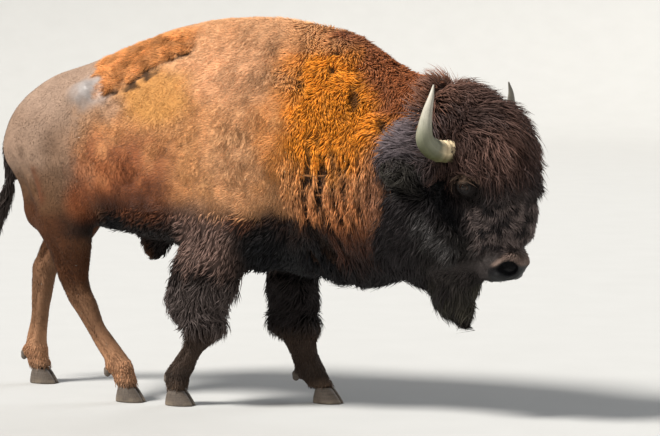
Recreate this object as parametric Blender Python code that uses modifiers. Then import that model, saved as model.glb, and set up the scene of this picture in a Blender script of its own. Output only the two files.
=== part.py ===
"""American bison bull, life size, walking with its head low and turned a little to its right.

The animal is modelled whole, out to the tips of its coat, from lofted sections and ellipsoids that a
voxel remesh joins.  Thin cuts then part it into trunk, neck, head, beard and four legs.
Tail, horns, eyes, ears, hooves and dewclaws are solids of their own.
Body frame: +X towards the head, +Y towards the animal's left, +Z up, ground at Z = 0.  Metres.
"""

from math import cos, pi, radians, sin

import bmesh
import bpy
import numpy as np
from mathutils import Matrix, Vector

# ---------------------------------------------------------------- driving dimensions
GAP = 0.0006               # clearance between neighbouring solids
RING_POINTS = 40           # points round each lofted section
VOXEL = 0.016              # grid of the remesh that joins the masses
SMOOTHING = 8              # smoothing passes after it
FACES_KEPT = 0.050         # share of the remeshed faces that is kept
CORONET_HEIGHT = 0.075     # top of the hooves, where the hairy foot begins
BODY_OFFSET = (0.130, 0.030, 0.0)   # brings the middle of the whole animal over the origin

# Sections of trunk and neck, tail end to head end: place along the back, height of the spine line,
# height of the widest level, height of the belly line, half width, roundness above and below
# (2 is an ellipse, less is more pointed).
TRUNK_STATIONS = {
    "buttock end": (-1.375, 1.260, 1.16, 1.05, 0.090, 2.0, 2.0),
    "buttock": (-1.335, 1.365, 1.17, 0.95, 0.175, 2.1, 2.0),
    "rump": (-1.245, 1.460, 1.19, 0.88, 0.245, 2.1, 2.0),
    "hip": (-1.110, 1.545, 1.22, 0.84, 0.275, 2.0, 2.0),
    "loin": (-0.930, 1.600, 1.22, 0.81, 0.290, 1.9, 2.1),
    "flank": (-0.720, 1.680, 1.18, 0.78, 0.325, 1.8, 2.2),
    "last rib": (-0.480, 1.765, 1.13, 0.74, 0.370, 1.8, 2.3),
    "ribs": (-0.230, 1.815, 1.10, 0.69, 0.395, 1.75, 2.3),
    "hump": (0.020, 1.832, 1.10, 0.65, 0.395, 1.7, 2.2),
    "withers": (0.220, 1.810, 1.11, 0.62, 0.380, 1.7, 2.2),
    "hump front": (0.430, 1.770, 1.12, 0.61, 0.360, 1.75, 2.2),
    "neck base": (0.600, 1.675, 1.10, 0.61, 0.340, 1.8, 2.2),
    "neck": (0.750, 1.585, 1.07, 0.61, 0.320, 1.9, 2.2),
    "nape": (0.900, 1.565, 1.05, 0.60, 0.285, 2.0, 2.1),
    "throat": (1.030, 1.520, 1.03, 0.64, 0.220, 2.0, 2.0),
}
NECK_SWING = (0.45, 1.15, -0.13)   # the neck bends aside between these places, by this much

# Head frame: origin on the forehead's skin at the poll, first axis down the face to the muzzle,
# second to the animal's left, third out of the forehead.
POLL = Vector((1.135, -0.095, 1.305))
HEAD_PITCH = radians(72)           # face line below the horizontal
HEAD_YAW = radians(-10)            # turned to the animal's right

# Sections of the head from poll to lips: place down the face, forehead side, throat side,
# half width, roundness.
HEAD_STATIONS = {
    "poll": (-0.080, -0.010, -0.300, 0.150, 2.0),
    "horns": (0.030, 0.030, -0.370, 0.188, 2.1),
    "brow": (0.130, 0.040, -0.380, 0.192, 2.2),
    "eyes": (0.225, 0.035, -0.370, 0.170, 2.2),
    "cheek": (0.330, 0.030, -0.340, 0.150, 2.2),
    "bridge": (0.440, 0.020, -0.290, 0.120, 2.2),
    "mouth corner": (0.530, 0.012, -0.245, 0.103, 2.3),
    "nostrils": (0.605, 0.008, -0.200, 0.100, 2.4),
    "lips": (0.650, -0.015, -0.180, 0.090, 2.4),
    "lip edge": (0.668, -0.045, -0.150, 0.058, 2.2),
}
EYE_PLACE = (0.226, 0.177, -0.064)  # on the left side, in the head frame
EYE_RADIUS = 0.024

# Masses of long hair in the head frame: centre, radii.
HEAD_MASSES = {
    "bonnet": ((0.095, 0.0, 0.022), (0.268, 0.250, 0.212)),
    "face hair": ((0.320, 0.0, 0.018), (0.225, 0.145, 0.132)),
    "crest": ((-0.090, 0.0, -0.110), (0.200, 0.225, 0.210)),
    "cheek right": ((0.290, -0.095, -0.290), (0.240, 0.130, 0.160)),
    "cheek left": ((0.290, 0.095, -0.290), (0.240, 0.130, 0.160)),
}
# Masses of the body: centre, radii.  The walking hips are turned, the right side leading and lower.
BODY_MASSES = {
    "neck mane": ((0.820, -0.050, 1.030), (0.270, 0.310, 0.440)),
    "throat mane": ((0.900, -0.060, 0.720), (0.190, 0.150, 0.150)),
    "brisket": ((0.520, -0.010, 0.800), (0.320, 0.230, 0.230)),
    "sheath": ((-0.585, 0.000, 0.765), (0.095, 0.055, 0.125)),
    "right shoulder": ((0.080, -0.230, 1.070), (0.320, 0.165, 0.440)),
    "left shoulder": ((0.100, 0.230, 1.070), (0.320, 0.165, 0.440)),
    "right haunch": ((-1.100, -0.165, 1.110), (0.245, 0.145, 0.340)),
    "left haunch": ((-1.150, 0.165, 1.110), (0.235, 0.145, 0.340)),
    "right hip bone": ((-0.845, -0.200, 1.440), (0.140, 0.075, 0.078)),
    "left hip bone": ((-1.030, 0.185, 1.482), (0.140, 0.072, 0.070)),
}

# Leg sections from the top down: fore-aft place, distance from the midline, height, half length
# fore and aft, half width.  The last lies inside the hoof and is cut off at the coronet.
FORE_RIGHT = {
    "shoulder": (0.030, 0.220, 1.020, 0.190, 0.120),
    "elbow": (-0.090, 0.220, 0.820, 0.180, 0.115),
    "forearm": (-0.205, 0.208, 0.640, 0.182, 0.112),
    "breeches": (-0.262, 0.195, 0.515, 0.185, 0.108),
    "breeches hem": (-0.240, 0.190, 0.425, 0.168, 0.096),
    "knee": (-0.245, 0.185, 0.355, 0.082, 0.068),
    "cannon": (-0.298, 0.180, 0.260, 0.048, 0.043),
    "fetlock": (-0.360, 0.180, 0.160, 0.058, 0.055),
    "pastern": (-0.378, 0.180, 0.105, 0.055, 0.057),
    "coronet": (-0.378, 0.180, 0.040, 0.055, 0.058),
}
FORE_LEFT = {
    "shoulder": (0.080, 0.220, 1.020, 0.180, 0.120),
    "elbow": (0.055, 0.215, 0.800, 0.170, 0.110),
    "forearm": (0.040, 0.200, 0.630, 0.155, 0.104),
    "breeches": (0.048, 0.190, 0.515, 0.155, 0.098),
    "breeches hem": (0.055, 0.188, 0.425, 0.150, 0.092),
    "knee": (0.078, 0.185, 0.355, 0.112, 0.072),
    "cannon": (0.100, 0.180, 0.260, 0.072, 0.050),
    "fetlock": (0.138, 0.180, 0.160, 0.066, 0.056),
    "pastern": (0.185, 0.180, 0.105, 0.056, 0.057),
    "coronet": (0.218, 0.180, 0.040, 0.056, 0.058),
}
HIND_RIGHT = {
    "hip": (-1.110, 0.170, 1.170, 0.200, 0.110),
    "thigh": (-1.035, 0.190, 0.980, 0.195, 0.115),
    "gaskin": (-0.958, 0.195, 0.780, 0.138, 0.090),
    "hock top": (-0.935, 0.190, 0.620, 0.094, 0.062),
    "hock": (-0.910, 0.185, 0.520, 0.078, 0.056),
    "cannon top": (-0.858, 0.182, 0.425, 0.058, 0.046),
    "cannon": (-0.805, 0.180, 0.325, 0.046, 0.041),
    "fetlock": (-0.690, 0.180, 0.175, 0.055, 0.054),
    "pastern": (-0.658, 0.180, 0.105, 0.056, 0.057),
    "coronet": (-0.645, 0.180, 0.040, 0.056, 0.058),
}
HIND_LEFT = {
    "hip": (-1.140, 0.170, 1.170, 0.200, 0.110),
    "thigh": (-1.110, 0.190, 0.980, 0.180, 0.115),
    "gaskin": (-1.165, 0.195, 0.800, 0.135, 0.088),
    "hock top": (-1.285, 0.190, 0.640, 0.085, 0.060),
    "hock": (-1.330, 0.185, 0.540, 0.074, 0.056),
    "cannon top": (-1.342, 0.182, 0.440, 0.056, 0.046),
    "cannon": (-1.352, 0.180, 0.330, 0.045, 0.041),
    "fetlock": (-1.378, 0.180, 0.175, 0.057, 0.054),
    "pastern": (-1.358, 0.180, 0.105, 0.057, 0.057),
    "coronet": (-1.348, 0.180, 0.040, 0.056, 0.058),
}
LEGS = {
    "foreleg_right": (-1, FORE_RIGHT),
    "foreleg_left": (1, FORE_LEFT),
    "hindleg_right": (-1, HIND_RIGHT),
    "hindleg_left": (1, HIND_LEFT),
}

# Tail from its root between the pin bones to the end of its tuft: place, radius.
TAIL = (
    (-1.345, 0.000, 1.320, 0.046),
    (-1.400, 0.005, 1.230, 0.042),
    (-1.425, 0.015, 1.130, 0.036),
    (-1.425, 0.030, 1.030, 0.033),
    (-1.450, 0.045, 0.945, 0.036),
    (-1.505, 0.060, 0.870, 0.042),
    (-1.560, 0.070, 0.790, 0.050),
    (-1.595, 0.075, 0.700, 0.044),
    (-1.605, 0.075, 0.610, 0.010),
)

# Centreline of the left horn in the head frame, root to tip, and its radius.
HORN = (
    (0.053, 0.110, -0.080, 0.050),
    (0.053, 0.170, -0.088, 0.050),
    (0.049, 0.232, -0.102, 0.049),
    (0.029, 0.292, -0.105, 0.046),
    (-0.007, 0.335, -0.098, 0.041),
    (-0.052, 0.350, -0.074, 0.034),
    (-0.115, 0.345, -0.044, 0.024),
    (-0.175, 0.330, -0.014, 0.014),
    (-0.226, 0.310, 0.002, 0.004),
)

# Left ear under its curls, in the head frame: centreline, half width, half thickness.
EAR = (
    (0.150, 0.190, -0.215, 0.042, 0.030),
    (0.135, 0.250, -0.248, 0.058, 0.036),
    (0.095, 0.310, -0.286, 0.062, 0.036),
    (0.060, 0.345, -0.318, 0.045, 0.028),
    (0.036, 0.365, -0.338, 0.014, 0.012),
)

# Beard from the chin down: centreline, half length fore and aft, half width.
BEARD = (
    (1.040, -0.100, 0.780, 0.140, 0.100),
    (1.005, -0.090, 0.680, 0.150, 0.095),
    (0.988, -0.085, 0.600, 0.140, 0.080),
    (1.005, -0.083, 0.530, 0.092, 0.056),
    (1.032, -0.080, 0.480, 0.045, 0.030),
    (1.042, -0.080, 0.455, 0.014, 0.012),
)

# Hooves: two claws a foot, each with a dewclaw above and behind it.
CLAW_LENGTH = 0.146
CLAW_WIDTH = 0.060         # across one claw
CLAW_CLEFT = 0.008         # open space between the two
TOE_SLOPE = 0.62           # how far the toe leans back for each metre of height
HEEL_SLOPE = 0.10
TOE_LEAD = 0.020           # the claws' middle stands this far ahead of the coronet's
INNER_FLATTENING = 0.60    # a claw bulges less towards the cleft
TOE_PINCH = 0.16           # the toe tip turns in by this share of the width
DEWCLAW_RADII = (0.020, 0.014, 0.027)
DEWCLAW_SPREAD = 0.027     # either side of the foot's middle
DEWCLAW_DROP = 0.035       # below the fetlock's section

# Boxes that part the coat, in the order of the cuts: centre, size, turn about Y in degrees.
# The neck's box also holds the places of the boxes before it.
CELLS = {
    "foreleg_right": ((-0.210, -0.315, 0.320), (0.500, 0.490, 0.600), 0),
    "foreleg_left": ((0.080, 0.315, 0.320), (0.420, 0.490, 0.600), 0),
    "hindleg_right": ((-0.900, -0.315, 0.390), (0.640, 0.490, 0.700), 0),
    "hindleg_left": ((-1.260, 0.315, 0.390), (0.460, 0.490, 0.700), 0),
    "beard": ((0.975, -0.100, 0.500), (0.350, 0.500, 0.240), 0),
    "head": ((1.340, -0.100, 1.150), (0.900, 1.200, 1.400), -4),
    "neck": ((1.100, 0.000, 1.000), (1.100, 1.400, 2.400), 7),
}

# Base colour and roughness of each sub-part.
FINISHES = {
    "trunk": ((0.260, 0.120, 0.060), 0.80),
    "neck": ((0.300, 0.115, 0.042), 0.85),
    "head": ((0.030, 0.020, 0.017), 0.80),
    "beard": ((0.020, 0.014, 0.012), 0.80),
    "foreleg": ((0.040, 0.028, 0.024), 0.80),
    "hindleg": ((0.085, 0.042, 0.026), 0.70),
    "tail": ((0.050, 0.040, 0.036), 0.75),
    "ear": ((0.025, 0.018, 0.016), 0.80),
    "horn": ((0.420, 0.380, 0.280), 0.45),
    "hoof": ((0.140, 0.110, 0.090), 0.55),
    "dewclaw": ((0.060, 0.045, 0.038), 0.60),
    "eye": ((0.012, 0.007, 0.005), 0.08),
}


# ---------------------------------------------------------------- objects
def clear_scene():
    for obj in list(bpy.data.objects):
        bpy.data.objects.remove(obj, do_unlink=True)


def new_collection(name):
    collection = bpy.data.collections.new(name)
    bpy.context.scene.collection.children.link(collection)
    return collection


def add_object(name, data, collection, parent=None):
    obj = bpy.data.objects.new(name, data)
    collection.objects.link(obj)
    obj.parent = parent
    return obj


def add_guide(name, mesh, cutters, parent=None):
    guide = add_object(name, mesh, cutters, parent)
    guide.hide_render = True
    guide.display_type = "WIRE"
    return guide


def coat_with(obj, kind):
    """Gives the object the material of its kind of sub-part."""
    colour, roughness = FINISHES[kind]
    material = bpy.data.materials.get(kind) or bpy.data.materials.new(kind)
    material.use_nodes = True
    shader = material.node_tree.nodes["Principled BSDF"]
    shader.inputs["Base Color"].default_value = (*colour, 1.0)
    shader.inputs["Roughness"].default_value = roughness
    shader.inputs["Metallic"].default_value = 0.0
    obj.data.materials.clear()
    obj.data.materials.append(material)
    return obj


def evaluated_mesh(obj):
    bpy.context.view_layer.update()
    graph = bpy.context.evaluated_depsgraph_get()
    return bpy.data.meshes.new_from_object(obj.evaluated_get(graph), depsgraph=graph)


def combine(obj, operation, cutter):
    modifier = obj.modifiers.new(operation.title(), "BOOLEAN")
    modifier.operation = operation
    modifier.solver = "EXACT"
    modifier.object = cutter


# ---------------------------------------------------------------- shapes
def mesh_from(name, work):
    mesh = bpy.data.meshes.new(name)
    work.to_mesh(mesh)
    work.free()
    return mesh


def through(keys, count):
    """A smooth Catmull-Rom curve through the key rows, read at count even steps."""
    keys = np.asarray(keys, float)
    padded = np.vstack([2 * keys[0] - keys[1], keys, 2 * keys[-1] - keys[-2]])
    place = np.linspace(0, len(keys) - 1, count)
    start = np.minimum(place.astype(int), len(keys) - 2)
    t = (place - start)[:, None]
    a, b, c, d = (padded[start + k] for k in range(4))
    return 0.5 * (2 * b + (c - a) * t + (2 * a - 5 * b + 4 * c - d) * t**2 + (3 * b - a - 3 * c + d) * t**3)


def unit(vectors):
    return vectors / np.linalg.norm(vectors, axis=-1, keepdims=True)


def power(value, exponent):
    return np.sign(value) * np.abs(value) ** exponent


def turn(points):
    return np.linspace(0, 2 * pi, points, endpoint=False)


def loft(name, rings):
    """A closed mesh through rings of equal point count, with a flat cap at each end."""
    work = bmesh.new()
    rows = [[work.verts.new(point) for point in ring] for ring in rings]
    for low, high in zip(rows, rows[1:]):
        for k in range(len(low)):
            following = (k + 1) % len(low)
            work.faces.new((low[k], low[following], high[following], high[k]))
    work.faces.new(rows[0][::-1])
    work.faces.new(rows[-1])
    bmesh.ops.recalc_face_normals(work, faces=work.faces)
    return mesh_from(name, work)


def oval_limb(name, keys, count, points):
    """A loft along a centreline; each key is a place, a half size along X and one across it."""
    rows = through(keys, count)
    centres = rows[:, :3]
    tangents = unit(np.gradient(centres, axis=0))
    along = unit(np.array((1.0, 0.0, 0.0)) - tangents[:, :1] * tangents)
    across = np.cross(tangents, along)
    angle = turn(points)[:, None]
    rings = [
        centre + a * np.cos(angle) * u + b * np.sin(angle) * v
        for centre, u, v, a, b in zip(centres, along, across, rows[:, 3], rows[:, 4])
    ]
    return loft(name, rings)


def round_limb(name, keys, steps, sides, grow=0.0):
    """A tapering tube through the keys, each a place and a radius, grown all over by `grow`.

    It is a bevelled curve with filled caps, turned into a mesh.
    """
    curve = bpy.data.curves.new(name, "CURVE")
    curve.dimensions = "3D"
    curve.bevel_depth = 1.0
    curve.bevel_resolution = sides // 2 - 2
    curve.use_fill_caps = True
    rows = through(keys, steps)
    rows[0, :3] += grow * unit(rows[0, :3] - rows[1, :3])
    rows[-1, :3] += grow * unit(rows[-1, :3] - rows[-2, :3])
    spline = curve.splines.new("POLY")
    spline.points.add(len(rows) - 1)
    for point, (x, y, z, radius) in zip(spline.points, rows):
        point.co = (x, y, z, 1.0)
        point.radius = radius + grow
    tube = add_object(name, curve, bpy.context.scene.collection)
    work = bmesh.new()
    work.from_mesh(evaluated_mesh(tube))
    bmesh.ops.remove_doubles(work, verts=work.verts, dist=1e-5)
    bmesh.ops.recalc_face_normals(work, faces=work.faces)
    bpy.data.objects.remove(tube)
    return mesh_from(name, work)


def ball(name, radii, matrix=None, segments=24):
    """An ellipsoid of these radii, placed by the matrix."""
    work = bmesh.new()
    scale = Matrix.Diagonal((*radii, 1.0))
    matrix = (matrix or Matrix()) @ scale
    bmesh.ops.create_uvsphere(
        work, u_segments=segments, v_segments=segments // 2, radius=1.0, matrix=matrix
    )
    return mesh_from(name, work)


def box(name, centre, size, tilt, grow=0.0):
    work = bmesh.new()
    scale = Matrix.Diagonal((*(s + 2 * grow for s in size), 1.0))
    matrix = Matrix.Translation(centre) @ Matrix.Rotation(radians(tilt), 4, "Y") @ scale
    bmesh.ops.create_cube(work, size=1.0, matrix=matrix)
    return mesh_from(name, work)


def head_matrix():
    """Carries head coordinates (down the face, left, out of the forehead) to the body frame."""
    heading = Vector((cos(HEAD_YAW), sin(HEAD_YAW), 0))
    left = Vector((-sin(HEAD_YAW), cos(HEAD_YAW), 0))
    down_face = heading * cos(HEAD_PITCH) - Vector((0, 0, sin(HEAD_PITCH)))
    outward = heading * sin(HEAD_PITCH) + Vector((0, 0, cos(HEAD_PITCH)))
    matrix = Matrix((down_face, left, outward)).transposed().to_4x4()
    matrix.translation = POLL
    return matrix


def mirrored(keys, side):
    """Key rows given for the left, for this side: 1 is left and -1 is right."""
    return [(x, side * y, *rest) for x, y, *rest in keys]


# ---------------------------------------------------------------- masses of the coat
def trunk_mesh():
    """Trunk and neck: egg-shaped sections across the body, bent aside where the neck swings."""
    rows = through(list(TRUNK_STATIONS.values()), 60)
    angle = turn(RING_POINTS)
    start, end, swing = NECK_SWING
    upper = np.cos(angle) >= 0
    rings = []
    for x, top, widest, bottom, half_width, above, below in rows:
        exponent = np.where(upper, 2 / above, 2 / below)
        reach = np.where(upper, top - widest, widest - bottom)
        bend = swing * np.clip((x - start) / (end - start), 0, 1) ** 2
        y = bend + half_width * power(np.sin(angle), exponent)
        z = widest + reach * power(np.cos(angle), exponent)
        rings.append(np.stack([np.full_like(y, x), y, z], 1))
    return loft("trunk_mass", rings)


def head_mesh():
    """Skull and face from poll to lips, as sections square to the face line."""
    rows = through(list(HEAD_STATIONS.values()), 36)
    angle = turn(RING_POINTS)
    rings = []
    for down, front, back, half_width, roundness in rows:
        left = half_width * power(np.sin(angle), 2 / roundness)
        out = (front + back) / 2 + (front - back) / 2 * power(np.cos(angle), 2 / roundness)
        rings.append(np.stack([np.full_like(left, down), left, out], 1))
    mesh = loft("head_mass", rings)
    mesh.transform(head_matrix())
    return mesh


def coat_masses():
    """Every overlapping mass of flesh and hair in one mesh."""
    meshes = [trunk_mesh(), head_mesh(), oval_limb("beard_mass", BEARD, 16, 24)]
    for name, (side, sections) in LEGS.items():
        meshes.append(oval_limb(name + "_mass", mirrored(sections.values(), side), 40, 24))
    for name, (centre, radii) in BODY_MASSES.items():
        meshes.append(ball(name, radii, Matrix.Translation(centre)))
    for name, (centre, radii) in HEAD_MASSES.items():
        meshes.append(ball(name, radii, head_matrix() @ Matrix.Translation(centre)))
    work = bmesh.new()
    for mesh in meshes:
        work.from_mesh(mesh)
        bpy.data.meshes.remove(mesh)
    return mesh_from("masses", work)


def coat_surface(cutters, body):
    """The whole coat as one closed surface, down to the coronets."""
    masses = add_guide("masses", coat_masses(), cutters, body)
    join = masses.modifiers.new("Join", "REMESH")
    join.mode = "VOXEL"
    join.voxel_size = VOXEL
    soften = masses.modifiers.new("Soften", "SMOOTH")
    soften.factor = 0.5
    soften.iterations = SMOOTHING
    thin = masses.modifiers.new("Thin out", "DECIMATE")
    thin.ratio = FACES_KEPT
    thin.use_collapse_triangulate = True
    below = box("feet", (0, 0, CORONET_HEIGHT - 0.5), (4.0, 2.0, 1.0), 0)
    combine(masses, "DIFFERENCE", add_guide("feet", below, cutters, body))
    return evaluated_mesh(masses)


# ---------------------------------------------------------------- sub-parts
def add_coat_parts(coat, collection, cutters, body):
    """Parts the coat by the cells in turn; what no cell holds is the trunk."""
    clearances = []
    nodes = {}
    for name, (centre, size, tilt) in CELLS.items():
        node = add_object(name, coat.copy(), collection, body)
        nodes[name] = coat_with(node, name.split("_")[0])
        cell = box(name + "_cell", centre, size, tilt)
        combine(node, "INTERSECT", add_guide(name + "_cell", cell, cutters, body))
        for clearance in clearances:
            combine(node, "DIFFERENCE", clearance)
        wider = box(name + "_clearance", centre, size, tilt, GAP)
        clearances.append(add_guide(name + "_clearance", wider, cutters, body))
    trunk = coat_with(add_object("trunk", coat.copy(), collection, body), "trunk")
    for clearance in clearances:
        combine(trunk, "DIFFERENCE", clearance)
    return nodes


def add_horn(label, side, head_node, collection, cutters, skull):
    keys = mirrored(HORN, side)
    horn = add_object("horn_" + label, round_limb("horn", keys, 14, 8), collection, skull)
    coat_with(horn, "horn")
    socket = round_limb("horn_socket", keys, 14, 8, GAP)
    combine(head_node, "DIFFERENCE", add_guide("horn_socket_" + label, socket, cutters, skull))


def add_eye(label, side, head_node, collection, cutters, skull):
    place = (EYE_PLACE[0], side * EYE_PLACE[1], EYE_PLACE[2])
    eye = add_object("eye_" + label, ball("eye", (EYE_RADIUS,) * 3, segments=12), collection, skull)
    eye.location = place
    coat_with(eye, "eye")
    hollow = ball("eye_socket", (EYE_RADIUS + GAP,) * 3, segments=12)
    socket = add_guide("eye_socket_" + label, hollow, cutters, skull)
    socket.location = place
    combine(head_node, "DIFFERENCE", socket)


def add_ear(label, side, clearance, collection, skull):
    mesh = oval_limb("ear", mirrored(EAR, side), 9, 12)
    ear = coat_with(add_object("ear_" + label, mesh, collection, skull), "ear")
    combine(ear, "DIFFERENCE", clearance)


def add_tail(clearance, collection, body):
    tail = add_object("tail", round_limb("tail", TAIL, 17, 8), collection, body)
    coat_with(tail, "tail")
    combine(tail, "DIFFERENCE", clearance)


def claw_mesh(inward):
    """Half a cloven hoof about its own middle: flat sole, leaning toe, less bulge to the cleft."""
    angle = turn(14)
    heights = (0.0, 0.008, 0.040, CORONET_HEIGHT - GAP)
    fullness = (0.93, 1.0, 0.97, 0.90)
    rings = []
    for z, share in zip(heights, fullness):
        toe = CLAW_LENGTH / 2 - TOE_SLOPE * z
        heel = -CLAW_LENGTH / 2 + HEEL_SLOPE * z
        along = (toe + heel) / 2 + (toe - heel) / 2 * share * np.cos(angle)
        across = CLAW_WIDTH / 2 * share * np.sin(angle)
        across = np.where(across * inward > 0, INNER_FLATTENING * across, across)
        across += inward * TOE_PINCH * CLAW_WIDTH * np.clip(np.cos(angle), 0, 1) ** 2
        across = inward * np.minimum(across * inward, INNER_FLATTENING * CLAW_WIDTH / 2)
        rings.append(np.stack([along, across, np.full_like(along, z)], 1))
    return loft("claw", rings)


def add_hoof(leg, side, sections, clearance, collection, body):
    """Two claws on the ground under the coronet, and two dewclaws behind the fetlock."""
    limb, end = leg.split("_")
    fetlock_x, fetlock_y, fetlock_z, fetlock_length, _ = sections["fetlock"]
    toe_x, toe_y = sections["coronet"][0] + TOE_LEAD, sections["coronet"][1]
    spread = (CLAW_CLEFT + INNER_FLATTENING * CLAW_WIDTH) / 2
    for label, outward in (("inner", -side), ("outer", side)):
        name = "_".join((limb.replace("leg", "hoof"), end, label))
        claw = add_object(name, claw_mesh(-outward), collection, body)
        claw.location = (toe_x, side * toe_y + outward * spread, 0.0)
        coat_with(claw, "hoof")
        name = "_".join((limb.replace("leg", "dewclaw"), end, label))
        dewclaw = add_object(name, ball("dewclaw", DEWCLAW_RADII, segments=8), collection, body)
        behind = fetlock_x - 0.9 * fetlock_length
        across = side * fetlock_y + outward * DEWCLAW_SPREAD
        dewclaw.location = (behind, across, fetlock_z - DEWCLAW_DROP)
        coat_with(dewclaw, "dewclaw")
        combine(dewclaw, "DIFFERENCE", clearance)


def main():
    clear_scene()
    bison = new_collection("american_bison")
    cutters = new_collection("cutters")
    body = add_object("body_frame", None, cutters)
    body.location = BODY_OFFSET
    skull = add_object("head_frame", None, cutters, body)
    skull.matrix_basis = head_matrix()

    coat = coat_surface(cutters, body)
    nodes = add_coat_parts(coat, bison, cutters, body)
    clearance = add_guide("coat_clearance", coat, cutters, body)
    swell = clearance.modifiers.new("Swell", "DISPLACE")
    swell.strength = GAP
    swell.mid_level = 0.0
    for label, side in (("left", 1), ("right", -1)):
        add_horn(label, side, nodes["head"], bison, cutters, skull)
        add_eye(label, side, nodes["head"], bison, cutters, skull)
        add_ear(label, side, clearance, bison, skull)
    add_tail(clearance, bison, body)
    for leg, (side, sections) in LEGS.items():
        add_hoof(leg, side, sections, clearance, bison, body)


main()
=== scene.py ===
"""American bison bull, life size, walking with its head low: skin, coat, eyes, horns, hooves and stage.

Laid out as an add-on and run as a script.  Body frame: +X towards the head, +Y the animal's left,
+Z up, ground at Z = 0.  Metres.  Head frame: down the face, to the animal's left, out of the forehead.
"""

from math import cos, pi, radians, sin

import bmesh
import bpy
import numpy as np
from bpy.props import FloatProperty, FloatVectorProperty, IntProperty, PointerProperty
from bpy.types import Operator, Panel, PropertyGroup
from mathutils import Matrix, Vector


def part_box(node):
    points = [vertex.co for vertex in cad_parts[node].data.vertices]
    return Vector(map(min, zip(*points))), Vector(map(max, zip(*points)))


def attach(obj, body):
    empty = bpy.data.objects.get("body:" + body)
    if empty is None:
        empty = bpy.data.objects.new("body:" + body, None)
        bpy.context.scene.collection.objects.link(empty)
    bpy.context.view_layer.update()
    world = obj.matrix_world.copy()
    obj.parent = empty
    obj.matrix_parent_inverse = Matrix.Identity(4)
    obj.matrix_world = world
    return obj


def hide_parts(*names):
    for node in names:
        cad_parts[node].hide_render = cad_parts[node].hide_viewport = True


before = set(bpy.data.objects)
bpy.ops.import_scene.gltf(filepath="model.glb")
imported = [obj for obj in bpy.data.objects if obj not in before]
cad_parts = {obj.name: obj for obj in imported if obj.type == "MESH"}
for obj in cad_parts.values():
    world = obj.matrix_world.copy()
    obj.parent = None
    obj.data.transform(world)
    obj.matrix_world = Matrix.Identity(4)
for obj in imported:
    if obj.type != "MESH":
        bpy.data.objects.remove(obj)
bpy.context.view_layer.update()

bl_info = {
    "name": "American Bison",
    "version": (1, 0, 0),
    "blender": (4, 5, 0),
    "location": "View3D > Sidebar > Bison",
    "description": "Builds the skin, coat, horns, eyes and hooves of a bison bull round its solids",
    "category": "Add Mesh",
}

FLESH = (
    "trunk", "neck", "head", "beard", "tail", "ear_left", "ear_right",
    "foreleg_left", "foreleg_right", "hindleg_left", "hindleg_right",
)
SIDES = (("left", 1), ("right", -1))


# ---------------------------------------------------------------- head frame
def middle_of(node):
    """The middle of a solid's box."""
    low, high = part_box(node)
    return np.array((low + high) / 2)


LEFT_EYE = np.array((0.226, 0.172, -0.064))      # in the head frame
EYE_IN_HEAD = LEFT_EYE * (1, 0, 1)               # the middle between the eyes
HEAD_PITCH = radians(72)                         # face line below the horizontal
EYES = {side: middle_of("eye_" + label) for label, side in SIDES}
HEAD_LEFT = EYES[1] - EYES[-1]
HEAD_LEFT /= np.linalg.norm(HEAD_LEFT)
HEADING = np.array((HEAD_LEFT[1], -HEAD_LEFT[0], 0.0))
UP = np.array((0.0, 0.0, 1.0))
HEAD_AXES = np.array((
    HEADING * cos(HEAD_PITCH) - UP * sin(HEAD_PITCH),
    HEAD_LEFT,
    HEADING * sin(HEAD_PITCH) + UP * cos(HEAD_PITCH),
))
POLL = (EYES[1] + EYES[-1]) / 2 - EYE_IN_HEAD @ HEAD_AXES


def to_head(points):
    return (points - POLL) @ HEAD_AXES.T


def from_head(points):
    return POLL + np.asarray(points, float) @ HEAD_AXES


def folded(points):
    """Places in the head frame, the right half folded onto the left."""
    down, aside, out = to_head(points).T
    return np.stack([down, np.abs(aside), out], 1)


# Paths in the body frame: places along the middle of tail, beard and forelegs.
TAIL_PATH = np.array((
    (-1.215, 0.030, 1.320), (-1.270, 0.035, 1.230), (-1.295, 0.045, 1.130), (-1.295, 0.060, 1.030),
    (-1.320, 0.075, 0.945), (-1.375, 0.090, 0.870), (-1.430, 0.100, 0.790), (-1.465, 0.105, 0.700),
    (-1.475, 0.105, 0.610),
))
BEARD_PATH = np.array((
    (1.170, -0.070, 0.780), (1.135, -0.060, 0.680), (1.118, -0.055, 0.600), (1.135, -0.053, 0.530),
    (1.162, -0.050, 0.480), (1.172, -0.050, 0.455),
))
BREECHES_PATHS = {
    "right": np.array((
        (0.040, -0.190, 0.820), (-0.075, -0.178, 0.640), (-0.132, -0.165, 0.515), (-0.110, -0.160, 0.400),
    )),
    "left": np.array((
        (0.185, 0.245, 0.800), (0.170, 0.230, 0.630), (0.178, 0.220, 0.515), (0.185, 0.218, 0.400),
    )),
}
# The hollow between cheek and face below the horn, painted dark as shade: place down the face and out of it,
# half width.
FACE_HOLLOW = np.array((
    (0.130, -0.195, 0.060), (0.200, -0.186, 0.064), (0.270, -0.176, 0.062), (0.350, -0.182, 0.042),
    (0.430, -0.194, 0.014),
))
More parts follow.
